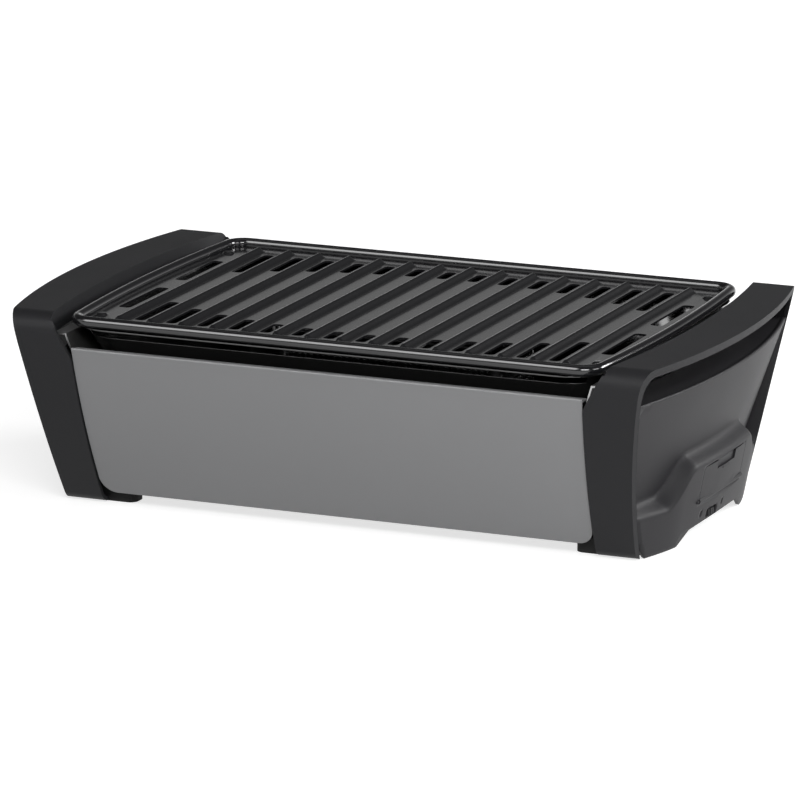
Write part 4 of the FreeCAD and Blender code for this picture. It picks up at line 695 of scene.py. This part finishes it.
# Height above the floor, and radius more than the neck or reach past the floor
NECK_CURVE = ((2.0, 0.0), (0.5, 0.6), (0.0, 2.0))
FLOOR_CURVE = ((0.0, -5.0), (0.5, -2.6), (2.0, -0.6))
WALL_HEIGHTS = (BOWL_FLOOR + 5.0, 60.0, 90.0, BOWL_SLOT_FOOT)
# Depth below the underside of the flange, and reach past the wall
FLANGE_CURVE = ((0.6, 0.0), (0.15, 0.25), (0.0, 0.8), (0.0, 5.0))


def bowl_ring(height, grow=0.0):
    """Plan of the drawn wall at a height, grown by a distance."""
    share = min((height - BOWL_FLOOR) / (BOWL_RIM - BOWL_FLOOR), 1.0)
    half = [foot + (rim - foot) * share + grow
            for foot, rim in zip(BOWL_FLOOR_HALF, BOWL_RIM_HALF)]
    return rounded_rectangle(*half, BOWL_CORNER + grow, BOWL_CORNER_STEPS)


def neck_ring(radius):
    """A circle with a point in the direction of each point of the floor."""
    angles = [math.atan2(y, x) for x, y in bowl_ring(BOWL_FLOOR)]
    return [(radius * math.cos(a), radius * math.sin(a)) for a in angles]


def make_bowl():
    under = BOWL_TOP - BOWL_SHEET
    rings = [at_height(neck_ring(NECK_RADIUS), NECK_TOP)]
    rings += [at_height(neck_ring(NECK_RADIUS + more), BOWL_FLOOR + rise)
              for rise, more in NECK_CURVE]
    rings += [at_height(bowl_ring(BOWL_FLOOR, grow), BOWL_FLOOR + rise)
              for rise, grow in FLOOR_CURVE]
    rings += [at_height(bowl_ring(height), height) for height in WALL_HEIGHTS]
    slot_row = len(rings) - 1
    rings += [at_height(bowl_ring(under - drop, grow), under - drop)
              for drop, grow in FLANGE_CURVE]
    verts, faces = skin(rings)
    half_corner = BOWL_CORNER_STEPS // 2
    last_corner = 3 * (BOWL_CORNER_STEPS + 1)
    opened = []
    for face in faces:
        row, column = divmod(face[0], len(rings[0]))
        front = column >= last_corner + half_corner or column < half_corner
        if row != slot_row or not front:
            opened.append(face)
    bowl = new_piece("bowl_tub", (verts, opened), "black_enamel", "bowl", smooth=35.0)
    face_out(bowl, lambda centre: Vector((centre.x, 0, 0)))
    thicken(bowl, BOWL_SHEET)
    soften(bowl, BOWL_SOFT_EDGE)
    even_shading(bowl)
    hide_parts("bowl")


# The side panels: a leaning skin set back in the end frame, with the raised pod.
# The end frame is ruled between an arc at the floor and one at the handle, each
# given by its middle and radius; its flanks are arcs about FLANK_HEIGHT.

END_ARCS = ((223.0, 461.0), (250.0, 610.0))
TOP_HEIGHT = 141.0
FLANK_RADIUS = 445.0
FLANK_HEIGHT = 207.4
FLANK_MIDDLE = -289.44
COLUMN_RETURN = 4.0
SEAM = 0.4
GRIP_BOTTOM = 116.5
SKIN_TOP_RECESS = 0.8
SKIN_FOOT_RECESS = 15.0
BORDER = 1.6
REVEAL = 1.2
SIDE_WALL = 2.4
SHELF_DEPTH = 30.0
SHELF_DROP = 0.05
SHELF_STEPS = 40
ARCH_HALF = 46.0
ARCH_HEIGHT = 9.3
ARCH_FOOT = 61.0
SIDE_FOOT = 0.8
FOOT_STEPS = 12
FOOT_LEVEL = 7.0
FOOT_CUT = 6.0
FLANK_FOOT = 10.0
FLANK_STEPS = 60
GRIP_STEPS = 50

POD_FACE = 4.0
POD_FACE_AT_COLUMN = -0.4
POD_LOW_CREST = 29.5
POD_HIGH_CREST = 53.5
POD_CLIMB = (82.0, 50.0)
POD_SWELL = (120.0, 60.0)
POD_SHOULDER = 12.0
POD_ROWS = (0.0, 0.08, 0.18, 0.3, 0.42, 0.55, 0.68, 0.8, 0.9, 1.0)

DOOR_MIDDLE = 1.0
DOOR_HALF = 40.0
DOOR_BOTTOM = 26.0
DOOR_TOP = 52.0
DIAL_MIDDLE = -11.5
WINDOW_HALF = 9.5
WINDOW_BOTTOM = 11.0
WINDOW_TOP = 18.2
OPENING_CORNER = 3.0
OPENING_CORNER_STEPS = 5
VENT_AWAY = 19.0
VENT_CORNERS = ((-2.3, 15.4), (0.7, 15.4), (2.3, 19.4), (-0.7, 19.4))
TUNNEL_FACE = 219.0
TUNNEL_INNER = 0.5
TUNNEL_OUTER = 2.4

# The points that carry the skin's curves, and their margins
GRID_Y = [i * 1.5 for i in range(-84, 85)]
GRID_Z = [3.0 + i * 1.6 for i in range(71)]
GRID_FOOT = 1.6
GRID_OVER_ARCH = 10.1
GRID_ARCH_HALF = 62.0
GRID_FROM_CREST = 1.0
GRID_FROM_BORDER = 0.9
GRID_FROM_HOLE = 0.6
CREST_Y = [i * 1.2 for i in range(-110, 111)]
CREST_FROM_BORDER = 0.6
BORDER_Z = [12.0 + i * 1.7 for i in range(62)]


def smooth_step(value):
    value = min(max(value, 0.0), 1.0)
    return value * value * (3.0 - 2.0 * value)


def end_x(y, height):
    """X of the end frame's outer surface."""
    floor, handle = [middle - radius + math.sqrt(radius ** 2 - y ** 2)
                     for middle, radius in END_ARCS]
    return floor + (handle - floor) * height / TOP_HEIGHT


def side_edge(height, inset=0.0):
    """Half depth of the side panel at a height, less an inset."""
    radius = FLANK_RADIUS - (COLUMN_RETURN + SEAM)
    return FLANK_MIDDLE + math.sqrt(radius ** 2 - (height - FLANK_HEIGHT) ** 2) - inset


def pod_crest(y):
    """Height where the pod's shoulder starts."""
    climb = smooth_step((POD_CLIMB[0] - abs(y)) / (POD_CLIMB[0] - POD_CLIMB[1]))
    return POD_LOW_CREST + (POD_HIGH_CREST - POD_LOW_CREST) * climb


def side_offset(y, height):
    """How far the side surface lies outside the end frame's surface."""
    share = (GRIP_BOTTOM - height) / GRIP_BOTTOM
    skin_level = -SKIN_TOP_RECESS - (SKIN_FOOT_RECESS - SKIN_TOP_RECESS) * share
    swell = smooth_step((POD_SWELL[0] - abs(y)) / (POD_SWELL[0] - POD_SWELL[1]))
    face = POD_FACE_AT_COLUMN + (POD_FACE - POD_FACE_AT_COLUMN) * swell
    rise = smooth_step((height - pod_crest(y)) / POD_SHOULDER)
    level = face + (skin_level - face) * rise
    edge = side_edge(height) - abs(y)
    blend = min(max((edge - BORDER) / REVEAL, 0.0), 1.0)
    return -SKIN_TOP_RECESS + (level + SKIN_TOP_RECESS) * blend


def side_outline():
    """Half of the YZ outline from the arch to the grip, then mirrored."""
    foot = side_edge(FOOT_LEVEL) - FOOT_CUT
    half = [(ARCH_HALF, ARCH_HEIGHT)]
    half += [(ARCH_FOOT + (foot - ARCH_FOOT) * i / FOOT_STEPS, SIDE_FOOT)
             for i in range(FOOT_STEPS + 1)]
    heights = [FLANK_FOOT + (GRIP_BOTTOM - FLANK_FOOT) * i / FLANK_STEPS
               for i in range(FLANK_STEPS + 1)]
    half += [(side_edge(z), z) for z in heights]
    half += [(side_edge(GRIP_BOTTOM) * (1 - i / GRIP_STEPS), GRIP_BOTTOM)
             for i in range(1, GRIP_STEPS)]
    return half + [(-y, z) for y, z in reversed(half)]


def opening(low, high, bottom, top, radius):
    """A hole with square lower and round upper corners."""
    return ([(low, bottom), (high, bottom)]
            + arc((high - radius, top - radius), radius, 0, 90, OPENING_CORNER_STEPS)
            + arc((low + radius, top - radius), radius, 90, 180, OPENING_CORNER_STEPS))


def door_hole(gap):
    return opening(DOOR_MIDDLE - DOOR_HALF - gap, DOOR_MIDDLE + DOOR_HALF + gap,
                   DOOR_BOTTOM - gap, DOOR_TOP + gap, OPENING_CORNER + gap)


def window_hole():
    return opening(DIAL_MIDDLE - WINDOW_HALF, DIAL_MIDDLE + WINDOW_HALF,
                   WINDOW_BOTTOM, WINDOW_TOP, OPENING_CORNER)


def vent_hole(side):
    return [(DIAL_MIDDLE + side * VENT_AWAY + y, z) for y, z in VENT_CORNERS]


def near_hole(point, hole):
    return all(min(values) - GRID_FROM_HOLE < value < max(values) + GRID_FROM_HOLE
               for value, values in zip(point, zip(*hole)))


def skin_points(holes):
    """Points inside the panel's outline that carry its curves."""
    inner_border = BORDER + REVEAL

    def on_grid(y, z):
        lowest = GRID_OVER_ARCH if abs(y) < GRID_ARCH_HALF else GRID_FOOT
        above = z - pod_crest(y)
        return (z > lowest and abs(y) < side_edge(z, inner_border + GRID_FROM_BORDER)
                and not -GRID_FROM_CREST < above < POD_SHOULDER + GRID_FROM_CREST)

    points = [(y, z) for y in GRID_Y for z in GRID_Z if on_grid(y, z)]
    for share in POD_ROWS:
        row = [(y, pod_crest(y) + share * POD_SHOULDER) for y in CREST_Y]
        points += [(y, z) for y, z in row
                   if abs(y) < side_edge(z, inner_border + CREST_FROM_BORDER)]
    return [point for point in points
            if not any(near_hole(point, hole) for hole in holes)]


def make_side_panel(name, node, side, holes):
    guides = [[(sign * side_edge(z, inset), z) for z in BORDER_Z]
              for sign in (-1, 1) for inset in (BORDER, BORDER + REVEAL)]
    flat, faces = sheet_with_holes(side_outline(), holes, guides, skin_points(holes))
    verts = [(side * (end_x(y, z) + side_offset(y, z)), y, z) for y, z in flat]
    panel = new_piece(name, (verts, faces), SLOTS[node], "housing", smooth=40.0)
    face_out(panel, lambda centre: Vector((side, 0, 0)))
    thicken(panel, SIDE_WALL)
    span = side_edge(GRIP_BOTTOM)
    section = ((0.0, 0.0), (0.0, -SIDE_WALL), (SHELF_DEPTH, -SIDE_WALL), (SHELF_DEPTH, 0.0))
    rings = []
    for step in range(SHELF_STEPS + 1):
        y = span * (2 * step / SHELF_STEPS - 1)
        face = end_x(y, GRIP_BOTTOM) - SKIN_TOP_RECESS - SIDE_WALL / 2
        rings.append([(side * (face - inward), y, GRIP_BOTTOM - SHELF_DROP + rise)
                      for inward, rise in section])
    verts, faces = dome(rings)
    faces.append(tuple(range(len(section))))
    shelf = new_piece(name.replace("panel", "shelf"), (verts, faces), SLOTS[node],
                      "housing", smooth=30.0)
    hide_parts(node)
    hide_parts(node)


def make_battery_tunnel():
    """Collar behind the battery opening."""
    rings = []
    for gap, deep in ((TUNNEL_INNER, False), (TUNNEL_INNER, True),
                      (TUNNEL_OUTER, True), (TUNNEL_OUTER, False)):
        rings.append([(TUNNEL_FACE if deep else end_x(y, z) + POD_FACE - SIDE_WALL / 2,
                       y, z) for y, z in door_hole(gap)])
    collar = new_piece("battery_tunnel", tube(rings), SLOTS["right_side_panel"],
                       "housing", smooth=30.0)
    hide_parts("right_side_panel")


def make_side_panels():
    make_side_panel("left_side_panel_skin", "left_side_panel", -1, [])
    make_side_panel("right_side_panel_skin", "right_side_panel", 1,
                    [door_hole(SEAM), window_hole(), vent_hole(-1), vent_hole(1)])
    make_battery_tunnel()


# Studio: white paper floor and backdrop, dark above, softboxes

SKY = ((0.0, 1.0), (0.06, 0.90), (0.15, 0.50), (0.25, 0.24), (0.34, 0.07),
       (0.50, 0.05), (1.0, 0.08))
SKY_FOR_SHADE = 0.26
SHEEN_TOWARDS = (-0.38, -0.68, 0.63)
SHEEN_EDGE = 0.93
SHEEN_SOFT = 0.05
SHEEN_LEVEL = 7.0
# Name, place in metres, watts, width and height
SOFTBOXES = (
    ("front_softbox", (1.15, -1.85, 1.35), 37.0, 1.3, 0.55),
    ("right_softbox", (2.4, -0.3, 1.2), 16.0, 1.2, 0.8),
    ("rim_softbox", (1.75, 1.45, 1.05), 38.0, 1.2, 0.6),
    ("left_softbox", (-2.3, -1.3, 1.0), 3.0, 1.2, 1.0),
    ("top_softbox", (-0.1, 0.5, 2.2), 1.5, 2.0, 0.9),
)
FLOOR_HALF = 12.0
FLOOR_GLOW = 0.72
FLOOR_GLOW_FAR = 1.0
FLOOR_GLOW_START = 0.6
FLOOR_GLOW_SPAN = 1.4


def make_sky():
    """Bright backdrop for the eye and for gloss; an even fill for matt surfaces."""
    world = bpy.data.worlds.new("studio")
    bpy.context.scene.world = world
    world.use_nodes = True
    sky = Nodes(world.node_tree)
    heading = sky.add("ShaderNodeTexCoord", {}, {}, "Generated")
    up = sky.add("ShaderNodeSeparateXYZ", {}, {"Vector": heading}, "Z")
    gloss = sky.add("ShaderNodeValToRGB", {"stops": SKY}, {"Fac": up})
    near = sky.add("ShaderNodeVectorMath", {"operation": "DOT_PRODUCT"},
                   {0: heading, 1: Vector(SHEEN_TOWARDS).normalized()}, "Value")
    gloss = gloss + ((near - SHEEN_EDGE) / SHEEN_SOFT).clamp() * SHEEN_LEVEL
    seen = sky.ray("Camera")
    mirrored = sky.ray("Glossy") + sky.ray("Transmission")
    level = seen + mirrored * gloss + (1.0 - seen - mirrored) * SKY_FOR_SHADE
    background = world.node_tree.nodes["Background"]
    sky.join(background.inputs["Color"], (1.0, 1.0, 1.0, 1.0))
    sky.join(background.inputs["Strength"], level)


def make_softboxes():
    for name, place, power, width, height in SOFTBOXES:
        light = bpy.data.lights.new(name, "AREA")
        light.shape = "RECTANGLE"
        light.size = width
        light.size_y = height
        light.energy = power
        aim_from(bpy.data.objects.new(name, light), place)


def make_floor():
    mesh = bpy.data.meshes.new("floor")
    mesh.from_pydata([(-FLOOR_HALF, -FLOOR_HALF, 0), (FLOOR_HALF, -FLOOR_HALF, 0),
                      (FLOOR_HALF, FLOOR_HALF, 0), (-FLOOR_HALF, FLOOR_HALF, 0)],
                     [], [(0, 1, 2, 3)])
    floor = bpy.data.objects.new("floor", mesh)
    bpy.context.scene.collection.objects.link(floor)
    finish = Finish("floor_paper", (0.55, 0.55, 0.55), Roughness=0.9,
                    Specular_IOR_Level=0.0, Emission_Strength=1.0)
    seen = finish.ray("Camera") + finish.ray("Glossy") + finish.ray("Transmission")
    away = finish.add("ShaderNodeVectorMath", {"operation": "LENGTH"},
                      {0: finish.place}, "Value")
    far = ((away - FLOOR_GLOW_START) / FLOOR_GLOW_SPAN).clamp()
    glow = far * (FLOOR_GLOW_FAR - FLOOR_GLOW) + FLOOR_GLOW
    finish.set("Emission Color", seen * glow)
    mesh.materials.append(finish.material)


make_camera()
for name in frame["nodes"]:
    dress(name)
make_grate()
make_basket()
make_bowl()
make_side_panels()
make_floor()
make_sky()
make_softboxes()

bpy.context.scene.view_settings.view_transform = "Standard"
